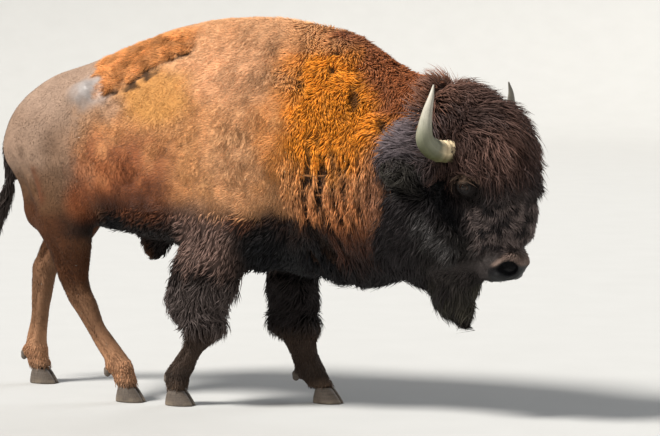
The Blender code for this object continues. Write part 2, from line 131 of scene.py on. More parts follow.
# Left ear, left horn with its radii, mouth and left nostril, in the head frame.
EAR_PATH = np.array((
    (0.150, 0.190, -0.215), (0.135, 0.250, -0.248), (0.095, 0.310, -0.286), (0.060, 0.345, -0.318),
    (0.036, 0.365, -0.338),
))
HORN_KEYS = np.array((
    (0.053, 0.110, -0.080, 0.050), (0.053, 0.170, -0.088, 0.050), (0.049, 0.232, -0.102, 0.049),
    (0.029, 0.292, -0.105, 0.046), (-0.007, 0.335, -0.098, 0.041), (-0.052, 0.350, -0.074, 0.034),
    (-0.115, 0.345, -0.044, 0.024), (-0.175, 0.330, -0.014, 0.014), (-0.226, 0.310, 0.002, 0.004),
))
MOUTH_PATH = np.array((
    (0.664, 0.000, -0.112), (0.642, 0.060, -0.110), (0.590, 0.096, -0.118), (0.520, 0.104, -0.140),
))
NOSTRIL = np.array((0.612, 0.058, -0.027))

# Lower legs, each by limb and side: height, middle fore and aft, half the depth.
LEG_SECTIONS = {
    ("hind", -1): (
        (0.105, -0.528, 0.056), (0.175, -0.560, 0.055), (0.325, -0.675, 0.046), (0.425, -0.728, 0.058),
        (0.520, -0.780, 0.078), (0.620, -0.805, 0.094), (0.780, -0.828, 0.138), (0.980, -0.905, 0.195),
    ),
    ("hind", 1): (
        (0.105, -1.228, 0.057), (0.175, -1.248, 0.057), (0.330, -1.222, 0.045), (0.440, -1.212, 0.056),
        (0.540, -1.200, 0.074), (0.640, -1.155, 0.085), (0.800, -1.035, 0.135), (0.980, -0.980, 0.180),
    ),
    ("fore", -1): (
        (0.105, -0.248, 0.055), (0.160, -0.230, 0.058), (0.260, -0.168, 0.048), (0.355, -0.115, 0.082),
    ),
    ("fore", 1): (
        (0.105, 0.315, 0.056), (0.160, 0.268, 0.066), (0.260, 0.230, 0.072), (0.355, 0.208, 0.112),
    ),
}


# ---------------------------------------------------------------- arithmetic on whole arrays
def smooth(value, low, high):
    """0 before low, 1 after high, 3t^2 - 2t^3 between; low may be above high."""
    t = np.clip((value - low) / (high - low), 0, 1)
    return t * t * (3 - 2 * t)


def unit(vectors):
    return vectors / np.maximum(np.linalg.norm(vectors, axis=-1, keepdims=True), 1e-9)


def blob(points, centre, radii, edge=0.35):
    """1 inside an ellipsoid and 0 outside it, with a soft edge of that share of its radii."""
    reach = np.linalg.norm((points - np.asarray(centre)) / np.asarray(radii), axis=1)
    return smooth(reach, 1 + edge, 1 - edge)


def side_blob(points, place, radii, edge):
    """The same seen from the side: x and z of its place and radii, at any y."""
    return blob(points * (1, 0, 1), (place[0], 0, place[1]), (radii[0], 1, radii[1]), edge)


def bell(*terms):
    """exp(-a^2 - b^2 ...), each term a value, its middle and its width."""
    return np.exp(-sum(((value - middle) / width) ** 2 for value, middle, width in terms))


def near_path(points, path):
    """The nearest place on a line through the path's points, its share of the way, and the distance."""
    best = np.full(len(points), 1e9)
    place = np.zeros((len(points), 3))
    share = np.zeros(len(points))
    for k in range(len(path) - 1):
        start, step = path[k], path[k + 1] - path[k]
        t = np.clip((points - start) @ step / (step @ step), 0, 1)
        found = start + t[:, None] * step
        distance = np.linalg.norm(points - found, axis=1)
        closer = distance < best
        best = np.where(closer, distance, best)
        place[closer] = found[closer]
        share = np.where(closer, (k + t) / (len(path) - 1), share)
    return place, share, best


def through(keys, count):
    """A smooth Catmull-Rom curve through the key rows, read at count even steps."""
    keys = np.asarray(keys, float)
    padded = np.vstack([2 * keys[0] - keys[1], keys, 2 * keys[-1] - keys[-2]])
    place = np.linspace(0, len(keys) - 1, count)
    start = np.minimum(place.astype(int), len(keys) - 2)
    t = (place - start)[:, None]
    a, b, c, d = (padded[start + k] for k in range(4))
    return 0.5 * (2 * b + (c - a) * t + (2 * a - 5 * b + 4 * c - d) * t**2 + (3 * b - a - 3 * c + d) * t**3)


def chance(cells, seed):
    """A number from -1 to 1 for each whole-number place, by mixing its bits."""
    mixed = cells[:, 0] * 73856093 ^ cells[:, 1] * 19349663 ^ cells[:, 2] * 83492791 ^ seed * 50331653
    for _ in range(2):
        mixed = mixed & 0xFFFFFFFF
        mixed = (mixed ^ (mixed >> 16)) * 0x45D9F3B
    mixed = mixed & 0xFFFFFFFF
    return (mixed ^ (mixed >> 16)) / 2.0**31 - 1


def noise(points, size, seed):
    """Smooth noise from -1 to 1 whose lumps are size across: chance at whole places, eased between.

    The seed only picks one of many patterns."""
    scaled = points / np.asarray(size, float) + 37.7 * (seed % 11)
    cell = np.floor(scaled).astype(np.int64)
    t = scaled - cell
    t = t * t * (3 - 2 * t)
    total = np.zeros(len(points))
    for corner in range(8):
        offset = np.array((corner & 1, corner >> 1 & 1, corner >> 2 & 1))
        weight = np.prod(np.where(offset, t, 1 - t), axis=1)
        total += weight * chance(cell + offset, seed)
    return total


# ---------------------------------------------------------------- where things are on the animal
def leg_mask(points):
    """1 on the forelegs, and 1 on the hind legs, below the trunk."""
    x, _, z = points.T
    fore = smooth(z, 0.66, 0.56) * smooth(np.abs(x - 0.06), 0.52, 0.44)
    hind = smooth(z, 0.80, 0.68) * smooth(x, -0.44, -0.50)
    return fore, hind


def boundary_of_mane(z):
    """Where along the body the dark mane begins, at each height: it sweeps forward at the top."""
    return 0.850 + 0.25 * smooth(z, 1.18, 1.50) - 0.09 * smooth(z, 0.98, 0.80)


def on_shed_wool(points):
    """The lumps of old wool over the loin, down to a ragged edge that climbs forward."""
    x, y, z = points.T
    edge = 1.494 + 0.51 * (x + 0.505) + 0.030 * noise(points, 0.045, 3)
    rear = x + 0.6 * (z - 1.48) + 0.05 * noise(points, 0.06, 29) + 0.03 * noise(points, 0.03, 30)
    front = x + 0.10 * noise(points, 0.09, 29) + 1.2 * np.maximum(y + 0.10, 0)
    across = y + 0.06 * noise(points, 0.09, 33) + 0.03 * noise(points, 0.04, 34)
    patch = smooth(rear, -0.65, -0.60) * smooth(front, -0.10, -0.24) * smooth(across, 0.08, 0.02)
    return smooth(z - edge, -0.012, 0.010) * patch


def wool_edge(points):
    """1 in the shadowed crevice along that ragged edge."""
    x, y, z = points.T
    edge = 1.482 + 0.51 * (x + 0.505) + 0.034 * noise(points, 0.045, 3) + 0.014 * noise(points, 0.018, 5)
    broken = smooth(noise(points, 0.07, 6), -0.9, -0.3) * smooth(y, 0.0, -0.05)
    return smooth(np.abs(z - edge), 0.030, 0.012) * smooth(x, -0.62, -0.52) * smooth(x, -0.12, -0.18) * broken


ROPE_SPACING = 0.066


def cape_ropes(points):
    """The lower cape's hanging ropes: -1 in the gaps between them, 1 on their crests, and where they are.

    A wave along the body, its phase pushed about by noise that is stretched upright."""
    x, _, z = points.T
    lean = x + 0.28 * np.minimum(z - 1.00, 0)
    pushed = lean + 0.036 * noise(points, (0.16, 0.40, 0.26), 11)
    pushed = pushed + 0.012 * noise(points, (0.05, 0.30, 0.10), 13)
    there = smooth(x + 0.03 * noise(points, 0.07, 9), 0.42, 0.50)
    there *= smooth(x + 0.14 * smooth(z, 1.00, 0.80), 0.84, 0.74)
    height = z + 0.10 * smooth(x, 0.50, 0.70) + 0.04 * noise(points, 0.08, 16)
    there *= smooth(height, 1.36, 1.26) * smooth(z, 0.60, 0.72)
    return np.cos(2 * pi * pushed / ROPE_SPACING), there


# The torn gaps in the matted cape: place along the body, height, half width, half height, depth.
CAPE_GAPS = (
    (0.555, 1.650, 0.030, 0.026, 0.9),
    (0.565, 1.580, 0.024, 0.034, 1.0),
    (0.670, 1.575, 0.030, 0.022, 0.9),
    (0.692, 1.450, 0.030, 0.070, 0.9),
    (0.850, 1.335, 0.026, 0.036, 1.0),
    (0.415, 1.530, 0.020, 0.060, 0.8),
    (0.548, 1.285, 0.012, 0.055, 0.8),
    (0.588, 1.150, 0.018, 0.075, 1.0),
    (0.515, 1.110, 0.019, 0.045, 1.0),
    (0.552, 1.045, 0.017, 0.040, 1.0),
    (0.661, 1.150, 0.016, 0.045, 0.9),
    (0.680, 1.070, 0.018, 0.045, 1.0),
)


def cape_crevices(points):
    """Hollows between the matted locks of the cape: gaps between the ropes below, ragged holes above."""
    x, y, z = points.T
    rope, there = cape_ropes(points)
    broken = smooth(noise(points, (0.050, 0.30, 0.130), 15), -0.50, -0.05) * (1 - 0.5 * smooth(z, 1.10, 1.25))
    gaps = there * broken * smooth(rope, 0.20, -0.60)
    ragged_x, ragged_z = x + 0.012 * noise(points, 0.028, 31), z + 0.016 * noise(points, 0.032, 32)
    for along, height, wide, tall, depth in CAPE_GAPS:
        reach = np.hypot((ragged_x - along) / wide, (ragged_z - height) / tall)
        gaps = np.maximum(gaps, depth * smooth(reach, 1.25, 0.45))
    return gaps * (1 - 0.4 * smooth(y, 0.0, 0.05))


# Zones of the coat, each with how its hair grows: length, height of its tips over the skin, width,
# swirl in radians, waviness, share of roots; and how deep the skin lies under the coat's outline.
# Later zones cover earlier ones.
ZONES = {
    #                 length  lift   width  swirl  wave  crowd depth
    "ribs":          (0.026, 0.0060, 0.0052, 0.55, 0.10, 1.0, 0.010),
    "rump":          (0.020, 0.0026, 0.0042, 0.18, 0.05, 0.9, 0.006),
    "thigh":         (0.025, 0.0050, 0.0050, 0.35, 0.10, 1.0, 0.008),
    "bare hip":      (0.008, 0.0010, 0.0030, 0.20, 0.05, 0.5, 0.001),
    "tan patch":     (0.018, 0.0030, 0.0045, 0.35, 0.10, 1.0, 0.008),
    "shed wool":     (0.030, 0.0140, 0.0070, 1.00, 0.40, 1.3, 0.014),
    "hump":          (0.032, 0.0090, 0.0056, 0.45, 0.20, 1.0, 0.018),
    "shoulder":      (0.030, 0.0080, 0.0054, 0.70, 0.20, 1.0, 0.014),
    "underline":     (0.050, 0.0200, 0.0075, 0.45, 0.25, 1.0, 0.022),
    "cape":          (0.038, 0.0180, 0.0064, 1.10, 0.35, 1.0, 0.028),
    "cape locks":    (0.062, 0.0200, 0.0070, 0.30, 0.15, 1.0, 0.034),
    "mane":          (0.080, 0.0360, 0.0080, 0.45, 0.20, 1.1, 0.038),
    "brisket":       (0.110, 0.0400, 0.0090, 0.30, 0.20, 1.1, 0.045),
    "crest":         (0.105, 0.0640, 0.0085, 0.45, 0.20, 1.2, 0.045),
    "cheek":         (0.060, 0.0280, 0.0075, 0.55, 0.25, 1.1, 0.032),
    "mop":           (0.110, 0.0560, 0.0072, 0.50, 0.30, 1.2, 0.060),
    "face":          (0.042, 0.0190, 0.0062, 0.95, 0.45, 1.1, 0.018),
    "muzzle":        (0.009, 0.0015, 0.0026, 0.25, 0.05, 1.5, 0.002),
    "eyelids":       (0.018, 0.0050, 0.0034, 0.15, 0.05, 1.8, 0.006),
    "ear":           (0.055, 0.0300, 0.0075, 1.00, 0.50, 1.3, 0.016),
    "beard":         (0.105, 0.0460, 0.0074, 0.26, 0.15, 1.2, 0.000),
    "breeches":      (0.074, 0.0440, 0.0082, 0.60, 0.30, 1.1, 0.010),
    "fore cannon":   (0.016, 0.0025, 0.0040, 0.20, 0.05, 1.2, 0.002),
    "gaskin":        (0.024, 0.0050, 0.0048, 0.30, 0.10, 1.2, 0.008),
    "hind cannon":   (0.017, 0.0026, 0.0042, 0.20, 0.05, 1.9, 0.002),
    "fetlock":       (0.030, 0.0060, 0.0052, 0.30, 0.10, 1.4, 0.005),
    "tail dock":     (0.045, 0.0100, 0.0065, 0.25, 0.10, 1.0, 0.000),
    "tail tuft":     (0.130, 0.0300, 0.0075, 0.22, 0.15, 1.4, 0.000),
}
HAIR = np.array([row[:6] for row in ZONES.values()])
DEPTHS = np.array([row[6] for row in ZONES.values()])


def eye_gap(points):
    """The distance from each place to the nearer eye."""
    return np.minimum(*(np.linalg.norm(points - eye, axis=1) for eye in EYES.values()))


def on_rump(points):
    """1 on the short-haired haunch, behind a front edge that runs from the hip down and back."""
    x, _, z = points.T
    edge = np.interp(z, (0.90, 1.10, 1.25, 1.48, 1.60), (-0.735, -0.750, -0.735, -0.625, -0.560))
    ragged = 0.05 * noise(points, 0.10, 17) + 0.035 * noise(points, (0.025, 0.05, 0.060), 18)
    return smooth(x - edge + ragged, 0.14, -0.12)


def in_face_hollow(points):
    """1 in the wedge below the horn, on both cheeks."""
    down, aside, out = to_head(points).T
    places, middles, halves = FACE_HOLLOW.T
    middle, half = np.interp(down, places, middles), np.interp(down, places, halves)
    ends = smooth(down, 0.120, 0.175) * smooth(down, 0.450, 0.400)
    return ends * smooth(np.abs(out - middle) / half, 1.15, 0.60) * smooth(np.abs(aside), 0.09, 0.13)


def masks_of(points):
    """How far each zone covers the ones before it, at each place."""
    x, _, z = points.T
    down, aside, out = to_head(points).T
    fore, hind = leg_mask(points)
    head = smooth(x, 1.00, 1.07)
    cape_band = smooth(x + 0.09 * noise(points, 0.13, 14), 0.22, 0.52)
    _, tail_share, tail_gap = near_path(points, TAIL_PATH)
    tail = smooth(tail_gap, 0.085, 0.065) * smooth(x, -1.18, -1.24)
    ear_gap = near_path(folded(points), EAR_PATH)[2]
    beard_gap = near_path(points, BEARD_PATH)[2]
    rump, wool = on_rump(points), on_shed_wool(points)
    ragged = points + (0.02 * noise(points, 0.04, 20))[:, None]
    patch = np.hypot((x + 0.27 + 0.05 * noise(points, 0.09, 19)) / 0.25, (z - 1.45) / 0.15)
    return {
        "rump": rump,
        "thigh": smooth(x, -0.35, -0.50) * smooth(z, 1.22, 1.08) * (1 - rump),
        "bare hip": np.maximum(
            blob(ragged, (-0.665, -0.230, 1.478), (0.095, 0.10, 0.080), 0.6),
            0.45 * blob(ragged, (-0.870, 0.235, 1.490), (0.07, 0.08, 0.06), 0.7),
        ),
        "tan patch": smooth(patch, 1.15, 0.55) * (1 - wool),
        "shed wool": wool,
        "hump": smooth(x, -0.20, 0.10) * smooth(z, 1.30, 1.50),
        "shoulder": smooth(x, -0.02, 0.16) * smooth(z, 1.44, 1.30),
        "underline": smooth(z, 0.98, 0.88) * smooth(x, -0.75, -0.60),
        "cape": cape_band * smooth(z, 1.18, 1.28),
        "cape locks": cape_band * smooth(z, 1.30, 1.18) * smooth(z, 0.60, 0.70),
        "mane": smooth(x - boundary_of_mane(z), -0.02, 0.05),
        "brisket": smooth(z, 0.84, 0.74) * smooth(x, 0.36, 0.50),
        "crest": head,
        "cheek": head * smooth(out, -0.08, -0.14) * smooth(down, 0.06, 0.14),
        "mop": head * smooth(out, -0.20, -0.12) * smooth(down, 0.30, 0.22),
        "face": head * smooth(out, -0.15, -0.08) * smooth(down, 0.22, 0.32),
        "muzzle": head * smooth(down - 0.055 * smooth(out, -0.07, 0.0), 0.475, 0.545) * smooth(z, 0.62, 0.66),
        "eyelids": smooth(eye_gap(points), 0.060, 0.044),
        "ear": smooth(ear_gap, 0.085, 0.060) * smooth(np.abs(aside), 0.19, 0.23),
        "beard": smooth(beard_gap, 0.17, 0.12) * smooth(z, 0.72, 0.62) * smooth(x, 0.96, 1.02),
        "breeches": fore,
        "fore cannon": fore * smooth(z, 0.43, 0.26),
        "gaskin": hind,
        "hind cannon": hind * smooth(z, 0.52, 0.44),
        "fetlock": np.maximum(fore, hind) * smooth(z, 0.27, 0.13),
        "tail dock": tail,
        "tail tuft": tail * smooth(tail_share, 0.38, 0.52),
    }


def zone_weights(points):
    """How much each zone counts at each place, adding up to 1, as one column a zone."""
    masks = masks_of(points)
    weights = np.zeros((len(points), len(ZONES)))
    weights[:, 0] = 1
    for column, name in list(enumerate(ZONES))[1:]:
        weights *= 1 - masks[name][:, None]
        weights[:, column] = masks[name]
    return weights


PARTING, PARTING_REACH = 1.6, 0.075     # how strongly, and how far out, the hair parts round an eye


def lie_of(points, weights):
    """The way the hair lies at each place: each zone's own direction, by weight, before it is laid flat."""
    x, y, z = points.T
    down, aside, _ = to_head(points).T
    outward = np.sign(aside)[:, None] * HEAD_LEFT
    from_crown = unit(points - from_head((-0.160, 0.0, -0.210)))
    tail_step = np.diff(TAIL_PATH, axis=0)
    tail_share = near_path(points, TAIL_PATH)[1]
    tail_way = unit(tail_step[np.minimum((tail_share * len(tail_step)).astype(int), len(tail_step) - 1)])
    ear_way = (EAR_PATH[-1] - EAR_PATH[0]) @ HEAD_AXES
    ear_across = 2 * (EAR_PATH[-1, 1] - EAR_PATH[0, 1]) * HEAD_LEFT
    ear_way = np.where(np.sign(y + 1e-6)[:, None] > 0, ear_way, ear_way - ear_across)
    hind_slope = np.where(y < 0, 0.35, -0.10) * smooth(z, 0.55, 0.45)
    down_leg = np.stack([hind_slope, 0 * x, -np.ones_like(x)], 1)
    gather = near_path(points, BEARD_PATH)[0] - points
    from_horn = unit((points - (1.10, 0, 1.16)) * (1, 0, 1)) * smooth(z, 1.10, 1.28)[:, None]
    stands = UP * (1.3 * smooth(z, 1.32, 1.45))[:, None]
    falls = UP * (0.10 + 0.55 * smooth(down, 0.02, 0.24))[:, None]
    loin = (-0.75, 0, -0.60)
    ways = {
        "ribs": (-0.85, 0, -0.50), "rump": (-0.40, 0, -0.90), "thigh": (-0.30, 0, -0.95),
        "bare hip": (-0.60, 0, -0.60), "tan patch": loin, "shed wool": loin, "hump": loin,
        "shoulder": (-0.50, 0, -0.85), "underline": (-0.60, 0, -0.60),
        "cape": (-0.20, 0, -1.0), "cape locks": (-0.04, 0, -1.0),
        "mane": from_horn * 1.4 + (-0.35, 0, -0.95),
        "brisket": (-0.05, 0, -1.0),
        "crest": from_horn * 0.7 + stands + (-0.40, 0, -0.45),
        "cheek": (-0.30, 0, -0.95),
        "mop": from_crown - falls,
        "face": HEAD_AXES[0] + outward * 0.35 - UP * 0.3,
        "muzzle": HEAD_AXES[0] * 0.7 + outward * 0.7 - HEAD_AXES[2] * 0.4,
        "eyelids": outward * 0.1 + HEAD_AXES[0] * 0.9 - HEAD_AXES[2] * 0.5,
        "ear": ear_way * 4 - UP * 0.5,
        "beard": gather * 0.9 + (0.10, 0, -1.0),
        "breeches": (-0.10, 0, -1.0), "fore cannon": (0.05, 0, -1.0),
        "gaskin": down_leg, "hind cannon": down_leg, "fetlock": (-0.15, 0, -1.0),
        "tail dock": tail_way, "tail tuft": tail_way,
    }
    total = np.zeros((len(points), 3))
    for column, name in enumerate(ZONES):
        total += weights[:, column, None] * np.broadcast_to(np.asarray(ways[name], float), total.shape)
    total = unit(total)
    for eye in EYES.values():
        from_eye = points - eye
        gap = np.linalg.norm(from_eye, axis=1, keepdims=True)
        total += PARTING * bell((gap, 0, PARTING_REACH)) * from_eye / np.maximum(gap, 1e-6)
    return unit(total)


# ---------------------------------------------------------------- markings
# The groove down the side of the haunch, seen from the side.
HAUNCH_GROOVE = np.array(((-0.955, 0, 1.090), (-0.935, 0, 1.035), (-0.912, 0, 0.950)))


def markings(points):
    """Linear colours of the coat at each place, from the zones of the body; skin and tufts share them."""
    colour = bpy.context.scene.bison_colours
    x, y, z = points.T
    down, _, out = to_head(points).T
    zone = dict(zip(ZONES, zone_weights(points).T))
    fore, hind = leg_mask(points)
    broad, mid, fine = noise(points, 0.22, 21), noise(points, 0.07, 22), noise(points, 0.022, 23)
    result = np.zeros((len(points), 3))
    result[:] = colour.flank

    def cover(mask, tone):
        nonlocal result
        result += np.clip(mask, 0, 1)[:, None] * (np.asarray(tone) - result)

    # back, flank and belly
    # lighter towards the top: sun-bleached wool and painted light from above
    cover(smooth(z, 1.35, 1.60) * 0.7, colour.back)
    cover(smooth(x, -0.10, 0.15) * smooth(z, 1.00, 1.15) * 0.45, colour.back)
    cover(smooth(x, -0.10, 0.15) * smooth(z, 1.35, 1.15) * 0.35, colour.back)
    cover(side_blob(points, (0.03, 1.57), (0.24, 0.12), 0.6) * 0.75, colour.bleached)
    cover(smooth(x, -0.10, -0.42) * smooth(z + 0.05 * mid, 1.36, 1.10), colour.thigh)
    red = smooth(x, -0.02, -0.30) * smooth(z + 0.12 * mid + 0.10 * broad, 1.24, 1.00)
    cover(red * 0.88, colour.red_flank)
    low = smooth(x, -0.02, -0.25) * smooth(z + 0.10 * mid + 0.07 * broad, 1.08, 0.90)
    cover(low * 0.85, colour.plum)
    cover(smooth(z + 0.03 * broad + 0.03 * mid, 0.97, 0.88), colour.plum)
    # painted shade in the fold of the flank before the stifle
    fold = side_blob(points, (-0.565, 0.945), (0.070, 0.050), 0.5)
    cover(fold * (0.55 + 0.4 * mid), colour.underside)
    cover(smooth(z + 0.04 * mid, 0.93, 0.84), colour.underside)

    # haunch and loin
    haunch = on_rump(points)
    cover(haunch, colour.rump)
    cover(haunch * smooth(z + 0.04 * broad, 1.45, 1.18) * 0.85, colour.haunch)
    rear = haunch * smooth(x, -0.84, -0.95) * smooth(z + 0.03 * mid, 1.04, 1.14) * smooth(z, 1.36, 1.28)
    cover(rear * 0.6, colour.rump)
    cover(haunch * smooth(z + 0.05 * broad + 0.02 * mid, 1.14, 0.98), colour.haunch_low)
    cover(haunch * smooth(z + 0.05 * broad + 0.03 * mid, 0.99, 0.88), colour.hind_leg)
    # painted shade along the groove down the haunch
    groove = near_path(points * (1, 0, 1), HAUNCH_GROOVE)[2]
    cover(bell((groove, 0, 0.020)) * 0.75, colour.plum)
    cover(zone["tan patch"] * 0.9, colour.tan_patch)
    cover(side_blob(points, (-0.545, 1.395), (0.075, 0.065), 0.7) * (0.6 + 0.3 * mid), colour.rump)
    lumps = noise(points, (0.045, 0.05, 0.030), 27)
    cover(zone["shed wool"], np.array(colour.shed_wool) * (0.85 + 0.35 * lumps)[:, None])
    # rubbed grey hide on the hip bones, paler as a painted highlight
    cover(zone["bare hip"] * 0.85, colour.bare_hip_and_highlight)

    # cape
    ochre = smooth(x + 0.06 * mid + 0.06 * broad, 0.20, 0.50) * smooth(z + 0.06 * mid, 1.00, 1.24)
    cover(ochre * 0.95 * (1 - 0.75 * smooth(z + 0.05 * mid, 1.62, 1.72)), colour.cape)
    cover(smooth(x, 0.34, 0.50) * smooth(z + 0.06 * mid, 1.20, 0.98) * 0.75, colour.cape_low)
    inner = np.interp(z, (1.34, 1.44, 1.53, 1.60, 1.68, 1.78), (0.83, 0.81, 0.75, 0.69, 0.60, 0.48))
    cover(smooth(x - inner + 0.05 * mid, -0.06, 0.06) * smooth(z, 1.32, 1.42) * 0.9, colour.cape_top)
    cover(smooth(x, 0.30, 0.45) * smooth(z + 0.04 * mid, 0.98, 0.80), colour.plum)
    # painted shade below the cape, behind the forelegs
    below = smooth(x, 0.18, 0.28) * smooth(x + 0.03 * mid, 0.62, 0.54) * smooth(z + 0.05 * mid, 0.98, 0.91)
    cover(below * 0.9, colour.underside)
    rust = smooth(x - boundary_of_mane(z) + 0.03 * mid, -0.16, -0.03) * smooth(z, 0.85, 1.0)
    cover(rust * 0.8, colour.cape_rust)
    # painted light and shade: the hanging ropes lighter on their crests and darker in the gaps
    rope, there = cape_ropes(points)
    result *= (1 + there * (0.05 + 0.42 * rope))[:, None]

    # mane, mop and ears
    dark = smooth(x - boundary_of_mane(z) + 0.03 * mid + 0.02 * fine, -0.03, 0.06)
    cover(dark, colour.mane)
    cover(smooth(z + 0.04 * mid, 0.94, 0.72) * smooth(x, 0.25, 0.45), colour.mane)
    # painted highlight: a blue-grey sheen of light on the black hair of the neck
    sheen = side_blob(points, (0.965, 1.330), (0.11, 0.16), 0.7) * dark
    cover(sheen * (0.85 + 0.3 * mid), colour.painted_neck_sheen)
    # brown hair on top of the crest, lighter there also as a painted highlight
    cover(smooth(z, 1.42, 1.52) * smooth(x + 0.03 * mid, 0.96, 1.04) * (0.75 + 0.3 * mid), colour.mop_brown_and_highlight)
    streak = noise(to_head(points), (0.030, 0.040, 0.110), 24)
    curls = noise(to_head(points), (0.022, 0.030, 0.022), 28)
    cover(zone["face"] * (0.45 + 0.3 * mid + 0.90 * curls), colour.face)
    mop = zone["mop"] * smooth(down, 0.30, 0.05)
    # the same brown on the crest's top, part real colour and part painted highlight
    cover(zone["crest"] * smooth(z, 1.36, 1.46) * (0.7 + 0.45 * streak), colour.mop_brown_and_highlight)
    cover(mop * (0.75 + 0.45 * streak), colour.mop)
    # browner locks on the side of the mop, lighter as a painted highlight where light falls
    mop_highlight_blob = blob(folded(points), (0.045, 0.180, 0.155), (0.12, 0.10, 0.10), 0.7)
    cover(mop_highlight_blob * (0.75 + 0.45 * streak), colour.mop_brown_and_highlight)
    # painted shadow: a dark band where the mop's fringe shades the face
    under = bell((down - 0.285 - 0.25 * np.maximum(out, 0), 0, 0.030)) * smooth(out, -0.09, -0.04)
    cover(under * smooth(x, 1.0, 1.06) * 0.8, colour.hollow)
    ears = zone["ear"] + 0.5 * zone["cheek"] * smooth(z, 1.0, 0.8)
    cover(ears * (0.7 + 0.4 * mid), colour.ear)
    cover(zone["beard"] * (0.50 + 0.3 * mid + 0.9 * streak), colour.beard)

    # jaw, muzzle and eyes
    places, middles, halves = FACE_HOLLOW.T
    # painted highlight: a lit strip of grey on the jaw's black hair, along the edge of the face hollow
    edge = out - np.interp(down, places, middles - halves)
    painted_jaw_light = smooth(edge, -0.13, -0.035) * smooth(edge, 0.0, -0.02) * smooth(down, 0.22, 0.29)
    cover(painted_jaw_light * smooth(down, 0.52, 0.42) * smooth(x, 1.0, 1.06) * (0.8 + 0.3 * mid), colour.painted_jaw_light)
    cover(zone["muzzle"] * smooth(down, 0.66, 0.56) * 0.8, colour.muzzle_fur)
    nose = smooth(down, 0.585, 0.620) * smooth(out, -0.125, -0.100)
    cover(nose * smooth(x, 1.0, 1.05), colour.nose)
    for _, side in SIDES:
        reach, close, _, height = nostril_reach(points, side)
        above = smooth(height, -0.005, 0.020)
        # brown skin of the rim, lighter above the nostril as a painted highlight
        cover(close * bell((reach, 1.50, 0.38)) * above * (0.70 + 0.30 * mid), colour.brown_lit_nose_rim)
        # painted shadow below the nostril, and painted shade inside it
        cover(close * smooth(reach, 3.2, 2.0) * (1 - above) * 0.85, colour.hollow)
        cover(close * smooth(reach, 1.15, 0.90), colour.hollow)
    # dark skin round the eye, darkened further as painted shade
    cover(smooth(eye_gap(points), 0.110, 0.060) * 0.85, colour.lid_skin_and_shade)
    brow = blob(folded(points), EYE_IN_HEAD + (-0.048, 0.190, 0.016), (0.030, 0.08, 0.042), 0.5)
    cover(brow * 0.9, colour.eyelid)
    # painted shade in the slit round the eyeball
    cover(smooth(eye_gap(points), 0.0262, 0.0248) * 0.9, colour.hollow)

    # legs and tail
    cover(fore * (0.9 + 0.1 * mid), colour.breeches)
    height = z + 0.04 * mid
    # browner hair on top of the forelegs, lighter also as painted light
    lit = smooth(x, 0.20, 0.00) * smooth(height, 0.60, 0.72) * smooth(height, 1.02, 0.88)
    cover(lit * smooth(x, -0.25, -0.12) * 0.9, colour.breeches_top_brown_and_lit)
    # painted shade between the forelegs, under the chest
    between = smooth(x + 0.03 * mid, 0.10, 0.24) * smooth(x, 0.62, 0.50) * smooth(height, 0.90, 0.76)
    cover(between * (1 - fore), colour.hollow)
    # painted shade: the far (left) foreleg darkened
    cover(fore * (y > 0) * 0.8, colour.hollow)
    cover(fore * smooth(z, 0.42, 0.34), colour.fore_cannon)
    cover(hind, colour.hind_leg)
    cover(hind * smooth(z + 0.03 * mid, 0.60, 0.40) * 0.8, colour.hind_cannon)
    # painted light: the far (left) hind leg lighter below the hock
    cover(hind * (y > 0) * smooth(z, 0.74, 0.58) * 0.7, colour.hind_cannon)
    # pale brown hair low on the hind legs, lighter also as painted light
    cover(hind * smooth(z + 0.03 * mid, 0.34, 0.20) * 0.7, colour.hind_foot)
    # painted shadow in front of the hind legs, below the edge of the flank
    stifle = smooth(x, -0.50, -0.60) * smooth(x, -0.90, -0.66) * smooth(z, 0.74, 0.80)
    cover(stifle * smooth(z + 0.03 * mid, 0.93, 0.85) * 0.97, colour.hollow)
    knob = side_blob(points, (-0.725, 0.952), (0.065, 0.085), 0.6)
    cover(knob * (0.85 + 0.3 * mid), colour.red_flank)
    cover(np.maximum(fore, hind) * smooth(z, 0.14, 0.08) * 0.6, colour.pastern)
    cover(zone["tail dock"] + zone["tail tuft"], colour.tail)

    # painted shade in the face hollows and between locks, and fine streaks
    cover(in_face_hollow(points) * 0.85, colour.hollow)
    cover(np.maximum(cape_crevices(points) * 0.92, wool_edge(points) * 0.90), colour.crevice)
    turned = np.stack([x * cos(0.5) - z * sin(0.5), y, x * sin(0.5) + z * cos(0.5)], 1)
    streaks = noise(turned, (0.013, 0.040, 0.070), 25)
    tone = 1 + 0.06 * broad + 0.04 * mid + 0.08 * fine + (0.17 - 0.10 * haunch) * streaks
    return np.clip(result * tone[:, None], 0, 1)


def bareness(points):
    """1 where bare skin shows: the nose pad and the rims of the eyes."""
    down, _, out = to_head(points).T
    nose = smooth(down, 0.600, 0.625) * smooth(out, -0.135, -0.105) * smooth(points[:, 0], 1.0, 1.05)
    return np.maximum(nose, smooth(eye_gap(points), 0.034, 0.029))


def gloss(points, weights):
    """Wet or rubbed shine: the nose pad, the lids' edges and the bare hip bones."""
    away = smooth(eye_gap(points), 0.05, 0.08)
    hips = weights[:, list(ZONES).index("bare hip")]
    return np.clip((0.10 + 0.16 * away) * bareness(points) + 0.20 * hips, 0, 1)


